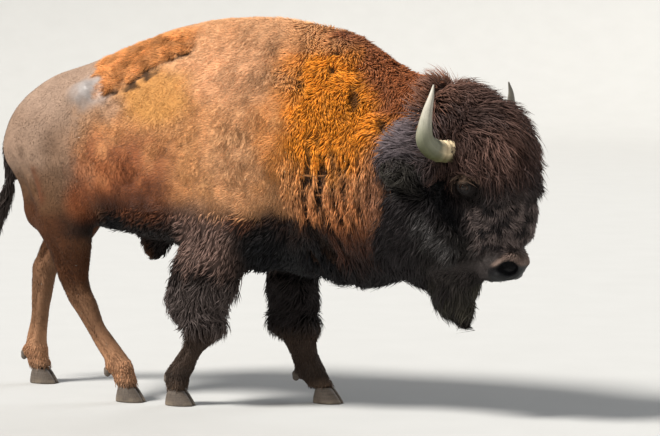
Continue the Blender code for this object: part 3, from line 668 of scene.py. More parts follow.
# ---------------------------------------------------------------- meshes from arrays
def mesh_of(name, points, faces, attributes=None, map_name=None, map_corners=None):
    """A mesh from an array of places and an array of faces, all with the same number of corners."""
    mesh = bpy.data.meshes.new(name)
    count, sides = faces.shape
    mesh.vertices.add(len(points))
    mesh.vertices.foreach_set("co", np.ascontiguousarray(points, np.float32).ravel())
    mesh.loops.add(count * sides)
    mesh.loops.foreach_set("vertex_index", faces.astype(np.int32).ravel())
    mesh.polygons.add(count)
    mesh.polygons.foreach_set("loop_start", np.arange(0, count * sides, sides, dtype=np.int32))
    mesh.polygons.foreach_set("use_smooth", np.full(count, True))
    for key, values in (attributes or {}).items():
        kind = "FLOAT" if values.ndim == 1 else "FLOAT_COLOR"
        layer = mesh.attributes.new(key, kind, "POINT")
        if values.ndim == 1:
            layer.data.foreach_set("value", values.astype(np.float32))
        else:
            rgba = np.ones((len(values), 4), np.float32)
            rgba[:, :3] = values
            layer.data.foreach_set("color", rgba.ravel())
    if map_name:
        layer = mesh.uv_layers.new(name=map_name)
        layer.uv.foreach_set("vector", map_corners.astype(np.float32).ravel())
    mesh.update(calc_edges=True)
    mesh.validate()
    return mesh


def linked(name, data):
    """A new object in the scene."""
    obj = bpy.data.objects.new(name, data)
    bpy.context.scene.collection.objects.link(obj)
    return obj


def piece(name, mesh, material, replaced=()):
    """The mesh as an object that rides on the body, with its finish."""
    obj = linked(name, mesh)
    mesh.materials.append(material)
    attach(obj, "root")
    if replaced:
        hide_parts(*replaced)
    return obj


def taken_from(obj):
    """The mesh that an object's modifiers make; the object goes."""
    bpy.context.view_layer.update()
    graph = bpy.context.evaluated_depsgraph_get()
    mesh = bpy.data.meshes.new_from_object(obj.evaluated_get(graph), depsgraph=graph)
    bpy.data.objects.remove(obj)
    return mesh


def places_of(mesh):
    points = np.empty(len(mesh.vertices) * 3, np.float32)
    mesh.vertices.foreach_get("co", points)
    return points.reshape(-1, 3).astype(float)


def corners_of(mesh):
    """Places and faces of a mesh whose faces all have the same number of corners."""
    index = np.empty(len(mesh.loops), np.int32)
    mesh.loops.foreach_get("vertex_index", index)
    return places_of(mesh), index.reshape(len(mesh.polygons), -1).astype(np.int64)


def triangles_of(faces):
    return faces if faces.shape[1] == 3 else np.concatenate([faces[:, (0, 1, 2)], faces[:, (0, 2, 3)]])


def normals_of(points, faces):
    """Each vertex's normal: the mean of its faces' normals, by area."""
    triangles = triangles_of(faces)
    a, b, c = (points[triangles[:, k]] for k in range(3))
    across = np.cross(b - a, c - a)
    total = np.stack([
        np.bincount(triangles.ravel(), np.repeat(across[:, axis], 3), len(points)) for axis in range(3)
    ], 1)
    return unit(total)


def edges_of(faces):
    pairs = np.concatenate([faces[:, (k, (k + 1) % faces.shape[1])] for k in range(faces.shape[1])])
    return np.unique(np.sort(pairs, axis=1), axis=0)


def relaxed(values, edges, passes):
    """Each vertex's value moved half of the way to its neighbours' mean, again and again."""
    count = len(values)
    ends = np.concatenate([edges, edges[:, ::-1]])
    degree = np.maximum(np.bincount(ends[:, 0], minlength=count), 1)
    values = values.reshape(count, -1).copy()
    for _ in range(passes):
        mean = np.stack([
            np.bincount(ends[:, 0], column[ends[:, 1]], count) / degree for column in values.T
        ], 1)
        values += 0.5 * (mean - values)
    return values


def largest_shell(points, faces):
    """The biggest connected surface, without the small ones that a remesh may leave inside."""
    edges = edges_of(faces)
    label = np.arange(len(points))
    while True:
        before = label.copy()
        low = np.minimum(label[edges[:, 0]], label[edges[:, 1]])
        np.minimum.at(label, edges[:, 0], low)
        np.minimum.at(label, edges[:, 1], low)
        label = label[label]
        if (label == before).all():
            break
    kept = label == np.bincount(label).argmax()
    number = np.cumsum(kept) - 1
    return points[kept], number[faces[kept[faces[:, 0]]]]


def grid_faces(rows, columns, closed_rows=False):
    """Faces of a grid whose columns close on themselves, and whose rows may too."""
    row, column = np.indices((rows if closed_rows else rows - 1, columns))
    here, ahead, across = row * columns, (row + 1) % rows * columns, (column + 1) % columns
    return np.stack([here + column, here + across, ahead + across, ahead + column], -1).reshape(-1, 4)


def capped_grid(rings):
    """A closed triangle mesh from rings of equal count, each end drawn together to its own middle."""
    rows, columns, _ = rings.shape
    points = np.concatenate([rings.reshape(-1, 3), rings[:1].mean(1), rings[-1:].mean(1)])
    sides = triangles_of(grid_faces(rows, columns))
    k = np.arange(columns)
    after = (k + 1) % columns
    first = np.stack([np.full(columns, rows * columns), after, k], 1)
    base = (rows - 1) * columns
    last = np.stack([np.full(columns, rows * columns + 1), base + k, base + after], 1)
    return points, np.concatenate([sides, first, last])


def facing_out(points, faces):
    """The faces turned, if need be, so that a closed shell's volume is above zero."""
    a, b, c = (points[faces[:, k]] for k in range(3))
    return faces if (np.cross(a, b) * c).sum() > 0 else faces[:, ::-1]


# ---------------------------------------------------------------- materials
class Wire:
    """A shader socket in sums and products with others and with numbers: each operator adds a Math node."""

    def __init__(self, finish, socket):
        self.finish, self.socket = finish, socket

    def math(self, operation, first, second):
        return self.finish.value("ShaderNodeMath", 0, {"operation": operation}, {0: first, 1: second})

    def __add__(self, other):
        return self.math("ADD", self, other)

    def __mul__(self, other):
        return self.math("MULTIPLY", self, other)

    def __rsub__(self, other):
        return self.math("SUBTRACT", other, self)

    __radd__, __rmul__ = __add__, __mul__

    def step(self, low, high):
        """0 to 1, smoothly, as the value goes from low to high."""
        settings = {"interpolation_type": "SMOOTHSTEP"}
        sockets = {"Value": self, "From Min": low, "From Max": high}
        return self.finish.value("ShaderNodeMapRange", "Result", settings, sockets)


class Finish:
    """A Principled material being wired."""

    def __init__(self, name, **constants):
        self.material = bpy.data.materials.new(name)
        self.material.use_nodes = True
        self.tree = self.material.node_tree
        self.shader = self.tree.nodes["Principled BSDF"]
        for key, value in constants.items():
            self.shader.inputs[key.replace("_", " ").title().replace("Ior", "IOR")].default_value = value

    def node(self, kind, settings=None, sockets=None):
        """Adds a node, sets its settings first, then the values or links of its sockets."""
        made = self.tree.nodes.new(kind)
        for key, value in (settings or {}).items():
            setattr(made, key, value)
        for key, value in (sockets or {}).items():
            self.feed(made.inputs[key], value)
        return made

    def feed(self, target, value):
        """Links a wire to a socket, or sets the socket's own value."""
        if isinstance(value, Wire):
            self.tree.links.new(value.socket, target)
        else:
            target.default_value = value

    def value(self, kind, output, settings=None, sockets=None):
        return Wire(self, self.node(kind, settings, sockets).outputs[output])

    def attribute(self, name, output="Fac"):
        return self.value("ShaderNodeAttribute", output, {"attribute_name": name})

    def place(self, scale=(1, 1, 1), turned=(0, 0, 0)):
        """Object coordinates, stretched and turned."""
        sockets = {"Vector": self.value("ShaderNodeTexCoord", "Object"), "Scale": scale, "Rotation": turned}
        return self.value("ShaderNodeMapping", "Vector", {}, sockets)

    def noise(self, scale, detail=3.0, roughness=0.55, where=None, distortion=0.0):
        sockets = {"Scale": scale, "Detail": detail, "Roughness": roughness, "Distortion": distortion,
                   "Vector": where or self.place()}
        return self.value("ShaderNodeTexNoise", "Fac", {}, sockets)

    def cells(self, scale):
        sockets = {"Scale": scale, "Vector": self.place()}
        return self.value("ShaderNodeTexVoronoi", "Distance", {"feature": "F1"}, sockets)

    def mix(self, share, first, second):
        """Two colours mixed by a share."""
        node = self.node("ShaderNodeMix", {"data_type": "RGBA"})
        colours = [value if isinstance(value, Wire) else (*value, 1.0) for value in (first, second)]
        for key, value in zip(("Factor_Float", "A_Color", "B_Color"), (share, *colours)):
            self.feed(next(s for s in node.inputs if s.identifier == key), value)
        return Wire(self, next(s for s in node.outputs if s.identifier == "Result_Color"))

    def shade(self, colour, amount):
        """A colour made darker or lighter by a value."""
        sockets = {0: colour, "Scale": amount}
        return self.value("ShaderNodeVectorMath", "Vector", {"operation": "SCALE"}, sockets)

    def into(self, socket, wire):
        self.feed(self.shader.inputs[socket], wire)

    def bump(self, height, strength, distance):
        sockets = {"Height": height, "Strength": strength, "Distance": distance}
        self.into("Normal", self.value("ShaderNodeBump", "Normal", {}, sockets))


def fur_finish(name, roughness, sheen, tip_gain):
    """Tufts: their marking, darker at the root as painted shade and in each tuft's own tone, with fine
    strands in relief.
    """
    made = Finish(name, specular_ior_level=0.14, sheen_weight=sheen, sheen_roughness=0.45)
    along, own = made.attribute("along"), made.attribute("own")
    strands = made.noise(420.0, 2.0, 0.6)
    # painted shade: darker towards the root, among the hair
    depth = 0.52 + along.step(0.0, 0.75) * tip_gain
    tone = depth * (0.78 + own * 0.44) * (0.86 + strands * 0.28)
    made.into("Base Color", made.shade(made.attribute("marking", "Color"), tone))
    made.into("Roughness", roughness + strands * 0.15)
    made.bump(strands, 0.35, 0.002)
    return made.material


def hide_finish():
    """Skin: the same markings as the coat, with short hair in relief and pebbled bare places, darker as
    painted shade where the coat is long.
    """
    made = Finish("hide", specular_ior_level=0.16, coat_roughness=0.30)
    bare, cover = made.attribute("bare"), made.attribute("cover")
    strands = made.noise(95.0, 4.0, 0.65, made.place((0.55, 1.0, 1.0), (0, radians(28), 0)), 0.4)
    mottle = made.noise(24.0, 3.0)
    pebble = made.cells(260.0)
    # painted shade: the skin darker under long hair
    tone = (0.70 + strands * 0.50) * (0.88 + mottle * 0.24) * (1.0 - cover * 0.55)
    made.into("Base Color", made.shade(made.attribute("marking", "Color"), tone))
    made.into("Roughness", 0.72 - bare * 0.30 + mottle * 0.08)
    made.into("Coat Weight", made.attribute("sheen") * (0.6 + mottle * 0.6))
    made.bump(strands * (1.0 - bare) + pebble * bare * 0.9, 0.55, 0.004)
    return made.material


def horn_finish():
    """Horn: tan and worn at the base, grey-olive along the bend, pale at the tip, with long fibres; darker
    underneath and on the far horn as painted shade.
    """
    colour = bpy.context.scene.bison_colours
    made = Finish("horn_sheath", specular_ior_level=0.45)
    along, underside_shade = made.attribute("along"), made.attribute("underside_shade")
    fibre = made.attribute("fibre")
    grime = made.noise(38.0, 4.0)
    base_to_bend = made.mix((along + grime * 0.12).step(0.30, 0.42), colour.horn_base, colour.horn_middle)
    body = made.mix((along + grime * 0.10).step(0.60, 0.86), base_to_bend, colour.horn_tip)
    # olive stain below the bend, darker on the underside as painted shade
    shaded = made.mix(underside_shade * (1.0 - along.step(0.55, 0.85)) * 0.92, body, colour.horn_shadow)
    # the attribute own holds the far horn's painted shade
    tone = (0.78 + fibre * 0.34) * (0.82 + grime * 0.36) * made.attribute("own")
    made.into("Base Color", made.shade(shaded, tone))
    made.into("Roughness", 0.62 - along * 0.22 + grime * 0.10)
    made.bump(fibre + grime * 0.4, 0.45, 0.0015)
    return made.material


def hoof_finish():
    """Hoof: grey-brown horn with growth rings and upright fibres, dusty at the sole."""
    colour = bpy.context.scene.bison_colours
    made = Finish("hoof_horn", specular_ior_level=0.40)
    height = made.attribute("height")
    rings = made.noise(1.0, 3.0, 0.5, made.place((14, 14, 210)))
    fibre = made.noise(1.0, 3.0, 0.6, made.place((330, 330, 26)))
    dust = made.noise(30.0, 4.0)
    horn = made.mix((fibre + rings * 0.6).step(0.45, 1.05), colour.hoof, colour.hoof_light)
    dusty = made.mix((1.0 - height.step(0.0, 0.5)) * dust.step(0.35, 0.7) * 0.8, horn, colour.dust)
    made.into("Base Color", dusty)
    made.into("Roughness", 0.50 + dust * 0.25)
    made.bump(rings + fibre * 0.5, 0.5, 0.0018)
    return made.material


PUPIL_BLACK = (0.002, 0.002, 0.002)


def eye_finish():
    """Eye: a dark brown iris round a wide, lying pupil, and brown corners, under a wet coat."""
    colour = bpy.context.scene.bison_colours
    made = Finish("eyeball", specular_ior_level=0.20, coat_weight=0.22, coat_roughness=0.02, roughness=0.15)
    ring, pupil = made.attribute("ring"), made.attribute("pupil")
    streak = made.noise(160.0, 3.0)
    iris = made.mix(ring.step(0.20, 0.62), colour.iris, colour.iris_rim)
    iris = made.shade(iris, 0.7 + streak * 0.6)
    ball = made.mix(ring.step(0.60, 0.68), iris, colour.eye_white)
    made.into("Base Color", made.mix(pupil.step(1.05, 0.92), ball, PUPIL_BLACK))
    return made.material


FLOOR_GREYS = (0.46, 0.46, 0.45), (0.50, 0.50, 0.49)


def floor_finish():
    made = Finish("studio_floor", specular_ior_level=0.2)
    grain = made.noise(3.0, 5.0)
    made.into("Base Color", made.mix(grain, *FLOOR_GREYS))
    made.into("Roughness", 0.80 + grain * 0.1)
    return made.material


# ---------------------------------------------------------------- skin
def magnified(points, centre, gain, reach):
    """Space swollen about a centre, so that detail there grows by gain.

    The distance r becomes r + a r / (r + reach), where a is (gain - 1) reach."""
    from_centre = points - centre
    r = np.linalg.norm(from_centre, axis=1, keepdims=True)
    return centre + from_centre * (1 + (gain - 1) * reach / (r + reach))


def shrunk_back(points, centre, gain, reach):
    """The reverse of magnified, by the quadratic formula."""
    from_centre = points - centre
    r = np.maximum(np.linalg.norm(from_centre, axis=1, keepdims=True), 1e-9)
    extra = (gain - 1) * reach
    b = reach + extra - r
    return centre + from_centre / r * (-b + np.sqrt(b * b + 4 * r * reach)) / 2


TRUNK_MIDDLE = np.array((-0.05, 0.0, 1.25))
MUZZLE_MIDDLE = from_head((0.600, 0.0, -0.060))
TRUNK_REACH, MUZZLE_REACH, EYE_REACH = 0.55, 0.10, 0.06
EYE_EXTRA_GAIN = 1.3


def lenses():
    """Where the skin's mesh is finer or coarser than its grid: centre, gain, reach, each centre moved by
    the lenses before it."""
    build = bpy.context.scene.bison_build
    wanted = [
        (TRUNK_MIDDLE, build.trunk_gain, TRUNK_REACH), (MUZZLE_MIDDLE, build.face_gain, MUZZLE_REACH),
    ]
    for _, side in SIDES:
        wanted.append((from_head(LEFT_EYE * (1, side, 1)), build.face_gain * EYE_EXTRA_GAIN, EYE_REACH))
    placed = []
    for centre, gain, reach in wanted:
        for earlier in placed:
            centre = magnified(centre[None], *earlier)[0]
        placed.append((centre, gain, reach))
    return placed


# Ellipsoids that fill the sockets of horns and eyes, on the left: place in the head frame, radii.
HEAD_PLUGS = (
    ((0.052, 0.165, -0.088), (0.062, 0.088, 0.062)),
    (LEFT_EYE, (0.032, 0.026, 0.032)),
)
DEWCLAW_PLUG = ((0.019, 0, 0.012), (0.036, 0.021, 0.034))     # the same at each dewclaw, in the body frame
OUTSET = 0.0012        # how far the flesh is blown up before it is merged
WELD = 1e-5            # corners of the solids nearer than this become one


def turn(count):
    """Even angles once round."""
    return np.linspace(0, 2 * pi, count, endpoint=False)


def over_ball(count, rest):
    """Angles from one pole to the other, as a column, stopping short of both by rest."""
    return np.linspace(rest, pi - rest, count)[:, None]


def ellipsoid(centre, radii, axes, rows=14, columns=24):
    """A closed ball whose radii run along the given axes."""
    angle, t = over_ball(rows, 0.06), turn(columns)
    local = np.stack([np.sin(angle) * np.cos(t), np.sin(angle) * np.sin(t), np.cos(angle) + 0 * t], -1)
    points, faces = capped_grid(centre + (local * radii) @ axes)
    return points, facing_out(points, faces)


def merged_flesh():
    """The flesh solids as one list of triangles, a little blown up, with plugs in the sockets."""
    work = bmesh.new()
    for name in FLESH:
        work.from_mesh(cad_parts[name].data)
    bmesh.ops.remove_doubles(work, verts=work.verts, dist=WELD)
    bmesh.ops.triangulate(work, faces=work.faces)
    mesh = bpy.data.meshes.new("flesh")
    work.to_mesh(mesh)
    work.free()
    points, faces = corners_of(mesh)
    points += OUTSET * normals_of(points, faces)
    plugs = [
        ellipsoid(from_head(np.array(centre) * (1, side, 1)), np.array(radii), HEAD_AXES)
        for centre, radii in HEAD_PLUGS for _, side in SIDES
    ]
    offset, radii = DEWCLAW_PLUG
    plugs += [
        ellipsoid(middle_of(name) + offset, np.array(radii), np.eye(3))
        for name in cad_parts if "dewclaw" in name
    ]
    for plug, plug_faces in plugs:
        faces = np.concatenate([faces, plug_faces + len(points)])
        points = np.concatenate([points, plug])
    return points, faces


def flesh_shell():
    """One closed surface round the merged flesh, relaxed until its facets are gone."""
    build = bpy.context.scene.bison_build
    points, faces = merged_flesh()
    glasses = lenses()
    for lens in glasses:
        points = magnified(points, *lens)
    obj = linked("flesh", mesh_of("flesh", points, faces))
    remesh = obj.modifiers.new("Remesh", "REMESH")
    remesh.mode, remesh.voxel_size = "VOXEL", build.skin_grid
    rough, faces = largest_shell(*corners_of(taken_from(obj)))
    edges = edges_of(faces)
    points = relaxed(rough, edges, build.skin_smoothing)
    normals = normals_of(points, faces)
    lost = relaxed(((rough - points) * normals).sum(1), edges, 2 * build.skin_smoothing)
    points = points + lost * normals
    for lens in reversed(glasses):
        points = shrunk_back(points, *lens)
    points, faces = thinned(points, triangles_of(faces))
    return points, faces, edges_of(faces)


def thinned(points, faces, levels=4):
    """Fewer triangles where the coat is deep; face, eyes and lower legs keep theirs."""
    build = bpy.context.scene.bison_build
    if len(faces) <= build.skin_limit:
        return points, faces
    muzzle = smooth(np.linalg.norm(points - MUZZLE_MIDDLE, axis=1), 0.20, 0.14)
    kept = np.clip(muzzle + smooth(eye_gap(points), 0.11, 0.08) + smooth(points[:, 2], 0.45, 0.35), 0, 1)
    obj = linked("flesh", mesh_of("flesh", points, faces))
    group = obj.vertex_groups.new(name="coated")
    for level in range(levels + 1):
        chosen = np.flatnonzero(np.round((1 - kept) * levels).astype(int) == level)
        group.add(chosen.tolist(), level / levels, "REPLACE")
    thin = obj.modifiers.new("Thin", "DECIMATE")
    thin.ratio = build.skin_limit / len(faces)
    thin.vertex_group, thin.vertex_group_factor = group.name, 1.0
    return corners_of(taken_from(obj))


def crease(points, path, width, depth):
    """How far to move in: depth along a line, fading as exp(-(d / width)^2), with low lips on both sides."""
    _, share, gap = near_path(points, path)
    ends = smooth(share, 0.0, 0.15) * smooth(share, 1.0, 0.85)
    d = gap / width
    return ends * depth * (bell((d, 0, 1)) - 0.35 * bell((d, 1.8, 1)))


# Creases down the flank on the left, in the body frame: line, width, depth.
CREASES = (
    (((-1.014, 0.26, 1.200), (-0.985, 0.27, 1.10), (-0.916, 0.27, 0.940)), 0.022, 0.014),
    (((0.020, 0.33, 1.330), (-0.020, 0.34, 1.18), (-0.075, 0.33, 0.90)), 0.040, 0.010),
    (((-0.420, 0.28, 1.120), (-0.340, 0.29, 0.98), (-0.300, 0.28, 0.86)), 0.035, 0.009),
    (((-0.760, 0.24, 1.400), (-0.800, 0.27, 1.27), (-0.860, 0.27, 1.12)), 0.050, 0.008),
)
HOLLOW_PASSES, DEPTH_PASSES, SINK_STEPS = 40, 6, 5


def drawn_in(points, faces, edges, weights):
    """The skin sunk by the coat's depth, a step at a time, each step relaxed where the coat is deep."""
    depth = relaxed(weights @ DEPTHS, edges, DEPTH_PASSES)[:, 0]
    for _ in range(SINK_STEPS):
        points = points - (depth / SINK_STEPS)[:, None] * normals_of(points, faces)
        points = points + smooth(depth, 0.004, 0.012)[:, None] * (relaxed(points, edges, 1) - points)
    return points


def gathered(points, masks):
    """Beard, tail and forelegs drawn towards their middle lines, as far as their hair stands off them."""
    stocking = masks["breeches"] * smooth(points[:, 2], 0.345, 0.43)
    for mask, path, kept, tip in (
        (masks["beard"], BEARD_PATH, 0.72, 0.34),
        (np.maximum(masks["tail dock"], masks["tail tuft"]), TAIL_PATH, 0.60, 0.60),
        (stocking * (points[:, 1] < 0), BREECHES_PATHS["right"], 0.92, 0.68),
        (stocking * (points[:, 1] > 0), BREECHES_PATHS["left"], 0.86, 0.68),
    ):
        axis, share, _ = near_path(points, path)
        kept = kept + (tip - kept) * smooth(share, 0.2, 1.0)
        points = points + (mask * (1 - kept))[:, None] * (axis - points)
    return points


def sculpted(points, faces, edges):
    """The skin under the coat: drawn in by the coat's depth, then gathered, creased and hollowed."""
    wedge = in_face_hollow(points)[:, None]
    for _ in range(HOLLOW_PASSES):
        points = points + wedge * (relaxed(points, edges, 1) - points)
    weights = zone_weights(points)
    points = drawn_in(points, faces, edges, weights)
    masks = masks_of(points)
    points = gathered(points, masks)
    normals = normals_of(points, faces)
    inward = np.zeros(len(points))
    for side in (-1, 1):
        for path, width, depth in CREASES:
            inward += crease(points, np.array(path) * (1, side, 1) + (0.02 * side, 0, 0), width, depth)
    mouth = from_head(np.concatenate([MOUTH_PATH[:0:-1] * (1, -1, 1), MOUTH_PATH]))
    _, share, gap = near_path(points, mouth)
    ends = smooth(share, 0.0, 0.10) * smooth(share, 1.0, 0.90)
    inward += ends * (0.010 * bell((gap, 0, 0.0055)) - 0.003 * bell((gap, 0.013, 0.007)))
    inward += leg_relief(points, *leg_mask(points))
    x, _, z = points.T
    off_tail = 1 - np.clip(masks["tail dock"] + masks["tail tuft"], 0, 1)
    inward += 0.065 * off_tail * smooth(x, -0.92, -1.10) * bell((z, 1.02, 0.11))
    inward += 0.045 * off_tail * smooth(x, -0.90, -1.05) * bell((z, 0.90, 0.09))
    rubbed = weights[:, list(ZONES).index("bare hip")]
    inward += 0.004 * rubbed * noise(points, (0.016, 0.05, 0.030), 26)
    down, aside, out = to_head(points).T
    nose_top = bell((down, 0.590, 0.050), (aside, 0, 0.065)) * smooth(out, -0.060, -0.010)
    inward -= 0.024 * nose_top * smooth(x, 1.0, 1.1)
    inward += 0.026 * in_face_hollow(points) + 0.020 * cape_crevices(points) + 0.012 * wool_edge(points)
    points = points - inward[:, None] * normals
    for _, side in SIDES:
        points = with_nostril(points, side)
        points = with_socket(points, side)
    return points


NOSTRIL_DEPTH = 0.036


def nostril_reach(points, side):
    """How far from the middle of the comma-shaped nostril each place lies, 1 at its edge; a mask of the
    places near it, the way into it, and the height over its middle."""
    into = -unit(np.array((0.42, 0.86 * side, 0.30)) @ HEAD_AXES)
    length = unit(np.array((-0.62, 0.20 * side, -0.55)) @ HEAD_AXES)
    length = unit(length - (length @ into) * into)
    width = np.cross(into, length) * side
    local = points - from_head(NOSTRIL * (1, side, 1))
    a, b = local @ length, local @ width
    b = b - 9.0 * np.maximum(a, 0) ** 2
    close = smooth(np.linalg.norm(local, axis=1), 0.105, 0.075)
    return np.sqrt((a / 0.046) ** 2 + (b / 0.037) ** 2), close, into, local[:, 2]


def leg_relief(points, fore, hind):
    """How far to move in on the lower legs: grooves between bone and tendons, the hollow before the
    hock's cord, and less at the point of the hock and round the fetlock."""
    x, y, z = points.T
    inward = np.zeros(len(points))
    for (limb, side), rows in LEG_SECTIONS.items():
        height, middle, half = np.array(rows).T
        off = x - np.interp(z, height, middle)
        p = off / np.interp(z, height, half)
        hinder = limb == "hind"
        mine = (hind if hinder else fore) * (y * side > 0) * smooth(np.abs(off), 0.35, 0.25)
        shaft = smooth(z, 0.19, 0.24) * (smooth(z, 0.50, 0.42) if hinder else smooth(z, 0.36, 0.30))
        groove = 0.013 * bell((p, -0.28, 0.24)) * shaft
        groove -= 0.003 * bell((p, -0.85, 0.25)) * shaft
        groove += 0.005 * bell((z, 0.128, 0.018)) - 0.003 * bell((z, 0.175, 0.022))
        if hinder:
            groove += 0.018 * bell((p, -0.38, 0.22)) * smooth(z, 0.58, 0.65) * smooth(z, 0.86, 0.74)
            groove += 0.008 * bell((p, 0.95, 0.45), (z, 0.56, 0.05))
            groove -= 0.007 * bell((p, -1.0, 0.30), (z, 0.585, 0.035))
            groove += 0.007 * bell((p, 0.10, 0.20), (z, 0.50, 0.045))
        inward += mine * groove
    return inward


def with_nostril(points, side):
    """A comma-shaped hollow: an ellipse whose rear end curls up, inside a rim raised most above."""
    reach, close, into, height = nostril_reach(points, side)
    rim = 0.002 + 0.009 * smooth(height, -0.010, 0.020)
    move = NOSTRIL_DEPTH * smooth(reach, 1.08, 0.55) - rim * bell((reach, 1.36, 0.26))
    return points + (close * move)[:, None] * into


def eye_axes(side):
    """Out of the eye, along its slit towards the front corner, and up across it."""
    outward = unit(np.array((0.02, 0.94 * side, 0.26)) @ HEAD_AXES)
    along = unit(np.array((0.52, 0.0, 0.85)) @ HEAD_AXES)
    along = unit(along - (along @ outward) * outward)
    above = np.cross(outward, along)
    return outward, along, above * np.sign(above[2])


def almond(t, radius):
    """The slit between the lids at angle t: a = A cos t, b = H |sin t|^0.85, higher above than below."""
    height = np.where(np.sin(t) > 0, 0.56, 0.44) * radius
    return 0.96 * radius * np.cos(t), height * np.sign(np.sin(t)) * np.abs(np.sin(t)) ** 0.85


def with_socket(points, side):
    """The orbit: skin sinks behind the ball inside the slit and lies on the ball round it, under a brow
    that stands proud and over a hollow below the front corner."""
    radius = bpy.context.scene.bison_build.eye_radius
    outward, along, above = eye_axes(side)
    local = points - EYES[side]
    a, b, c = local @ along, local @ above, local @ outward
    near = smooth(np.abs(c), 0.09, 0.06)
    reach = np.sqrt((a / radius) ** 2 + (b / (0.62 * radius)) ** 2)
    lid = np.sqrt(np.maximum((1.10 * radius) ** 2 - np.minimum(a * a + b * b, (0.95 * radius) ** 2), 0))
    settled = smooth(np.sqrt((a / 2.6) ** 2 + (b / 2.0) ** 2) / radius, 1.0, 0.45)
    moved = settled * (lid - 0.004 - c) * near
    moved -= smooth(reach, 1.35, 1.0) * near * 0.9 * radius
    brow = 0.011 * bell((a, -0.002, 0.044), (b, 0.040, 0.018))
    pit = 0.008 * bell((a, 0.040, 0.018), (b, -0.012, 0.014))
    return points + (moved + near * (brow - pit))[:, None] * outward


# Rows of a lid, from its edge over its skirt and back: growth of the almond, share of the way from the
# ball to the skin, lift above that.
LID_ROWS = (
    (0.98, 0.00, -0.0020), (0.97, 0.00, 0.0006), (1.00, 0.00, 0.0030), (1.08, 0.00, 0.0042),
    (1.18, 0.05, 0.0036), (1.30, 0.15, 0.0024), (1.40, 0.30, 0.0040), (1.50, 0.50, 0.0028),
    (1.60, 0.75, 0.0014), (1.70, 0.90, 0.0020), (1.80, 1.00, 0.0012), (1.90, 1.00, 0.0002),
    (2.00, 1.00, -0.0030), (1.80, 1.00, -0.0090), (1.45, 0.60, -0.0090), (1.15, 0.20, -0.0070),
)


def lids_of(side, points, faces, columns=96):
    """Lids as a closed ring swept round an almond: the edge lies on the ball, the skirt under the skin.

    Outwards the almond grows by a share, and each row goes from the ball's own surface to the skin's;
    two folds run parallel to the edge, and the last rows dive under the skin and back."""
    radius = bpy.context.scene.bison_build.eye_radius
    outward, along, above = eye_axes(side)
    t = turn(columns)
    a, b = almond(t, radius)
    upper = smooth(np.sin(t), -0.2, 0.6)
    rings = []
    for growth, share, lift in LID_ROWS:
        spread = (growth - 0.96) / (2.00 - 0.96)
        pa = a * growth * (1 - 0.16 * spread)
        pb = b * growth + 0.010 * spread * np.sign(b) * np.abs(np.sin(t))
        from_axis = np.minimum(pa * pa + pb * pb, (0.97 * radius) ** 2)
        ball = np.sqrt(np.maximum((1.04 * radius) ** 2 - from_axis, 0))
        on_ball = EYES[side] + pa[:, None] * along + pb[:, None] * above + ball[:, None] * outward
        on_skin = projected(on_ball + 0.006 * outward, points, faces, 0.0) if share else on_ball
        rise = lift * np.where(lift > 0, 0.7 + 0.6 * upper, 1.0)
        rings.append(on_ball * (1 - share) + on_skin * share + rise[:, None] * outward)
    made = np.concatenate(rings)
    return made, facing_out(made, triangles_of(grid_faces(len(rings), columns, closed_rows=True)))


def projected(places, points, faces, offset):
    """The nearest places on a surface, lifted off it by offset: a Shrinkwrap on loose points.

    The surface stays in the scene for the next call, until forget_wrap_target."""
    target = bpy.data.objects.get("wrap_target")
    if target is None:
        target = linked("wrap_target", mesh_of("wrap", points, faces))
    cloud = bpy.data.meshes.new("cloud")
    cloud.vertices.add(len(places))
    cloud.vertices.foreach_set("co", np.ascontiguousarray(places, np.float32).ravel())
    obj = linked("cloud", cloud)
    wrap = obj.modifiers.new("Wrap", "SHRINKWRAP")
    wrap.target, wrap.offset = target, offset
    wrap.wrap_method, wrap.wrap_mode = "NEAREST_SURFACEPOINT", "ABOVE_SURFACE"
    found = taken_from(obj)
    result = places_of(found)
    bpy.data.meshes.remove(found)
    return result


def forget_wrap_target():
    target = bpy.data.objects.get("wrap_target")
    if target:
        bpy.data.objects.remove(target)


# ---------------------------------------------------------------- coat
class Hide:
    """The finished skin as arrays, for the coat to grow on."""

    points = faces = normals = unwrap = None


def read_unwrap(obj):
    """Opens the skin's shape out flat with Blender's own projection, and reads it at each face's corners."""
    bpy.ops.object.select_all(action="DESELECT")
    bpy.context.view_layer.objects.active = obj
    obj.select_set(True)
    bpy.ops.object.mode_set(mode="EDIT")
    bpy.ops.mesh.select_all(action="SELECT")
    bpy.ops.uv.smart_project(angle_limit=radians(66), island_margin=0.002)
    bpy.ops.object.mode_set(mode="OBJECT")
    layer = obj.data.uv_layers.active
    flat = np.empty(len(obj.data.loops) * 2, np.float32)
    layer.uv.foreach_get("vector", flat)
    return flat.reshape(-1, 3, 2).astype(float)


def roots_on(faces_chosen, crowd, count, seed):
    """Roots spread over chosen faces in step with area times crowd: whole shares, and chance for the rest.

    Also each root's normal, its place in the unwrap, and the source of chance for what follows."""
    random = np.random.default_rng(seed)
    triangles = Hide.faces[faces_chosen]
    a, b, c = (Hide.points[triangles[:, k]] for k in range(3))
    area = np.linalg.norm(np.cross(b - a, c - a), axis=1) / 2
    share = area * crowd
    wanted = share / share.sum() * count
    number = np.floor(wanted + random.random(len(wanted))).astype(int)
    index = np.repeat(np.arange(len(triangles)), number)
    u, v = random.random(len(index)), random.random(len(index))
    turned = u + v > 1
    u, v = np.where(turned, 1 - u, u), np.where(turned, 1 - v, v)
    w = np.stack([1 - u - v, u, v], 1)
    corner = triangles[index]
    place = (Hide.points[corner] * w[:, :, None]).sum(1)
    normal = unit((Hide.normals[corner] * w[:, :, None]).sum(1))
    flat = (Hide.unwrap[faces_chosen][index] * w[:, :, None]).sum(1)
    return place, normal, flat, random


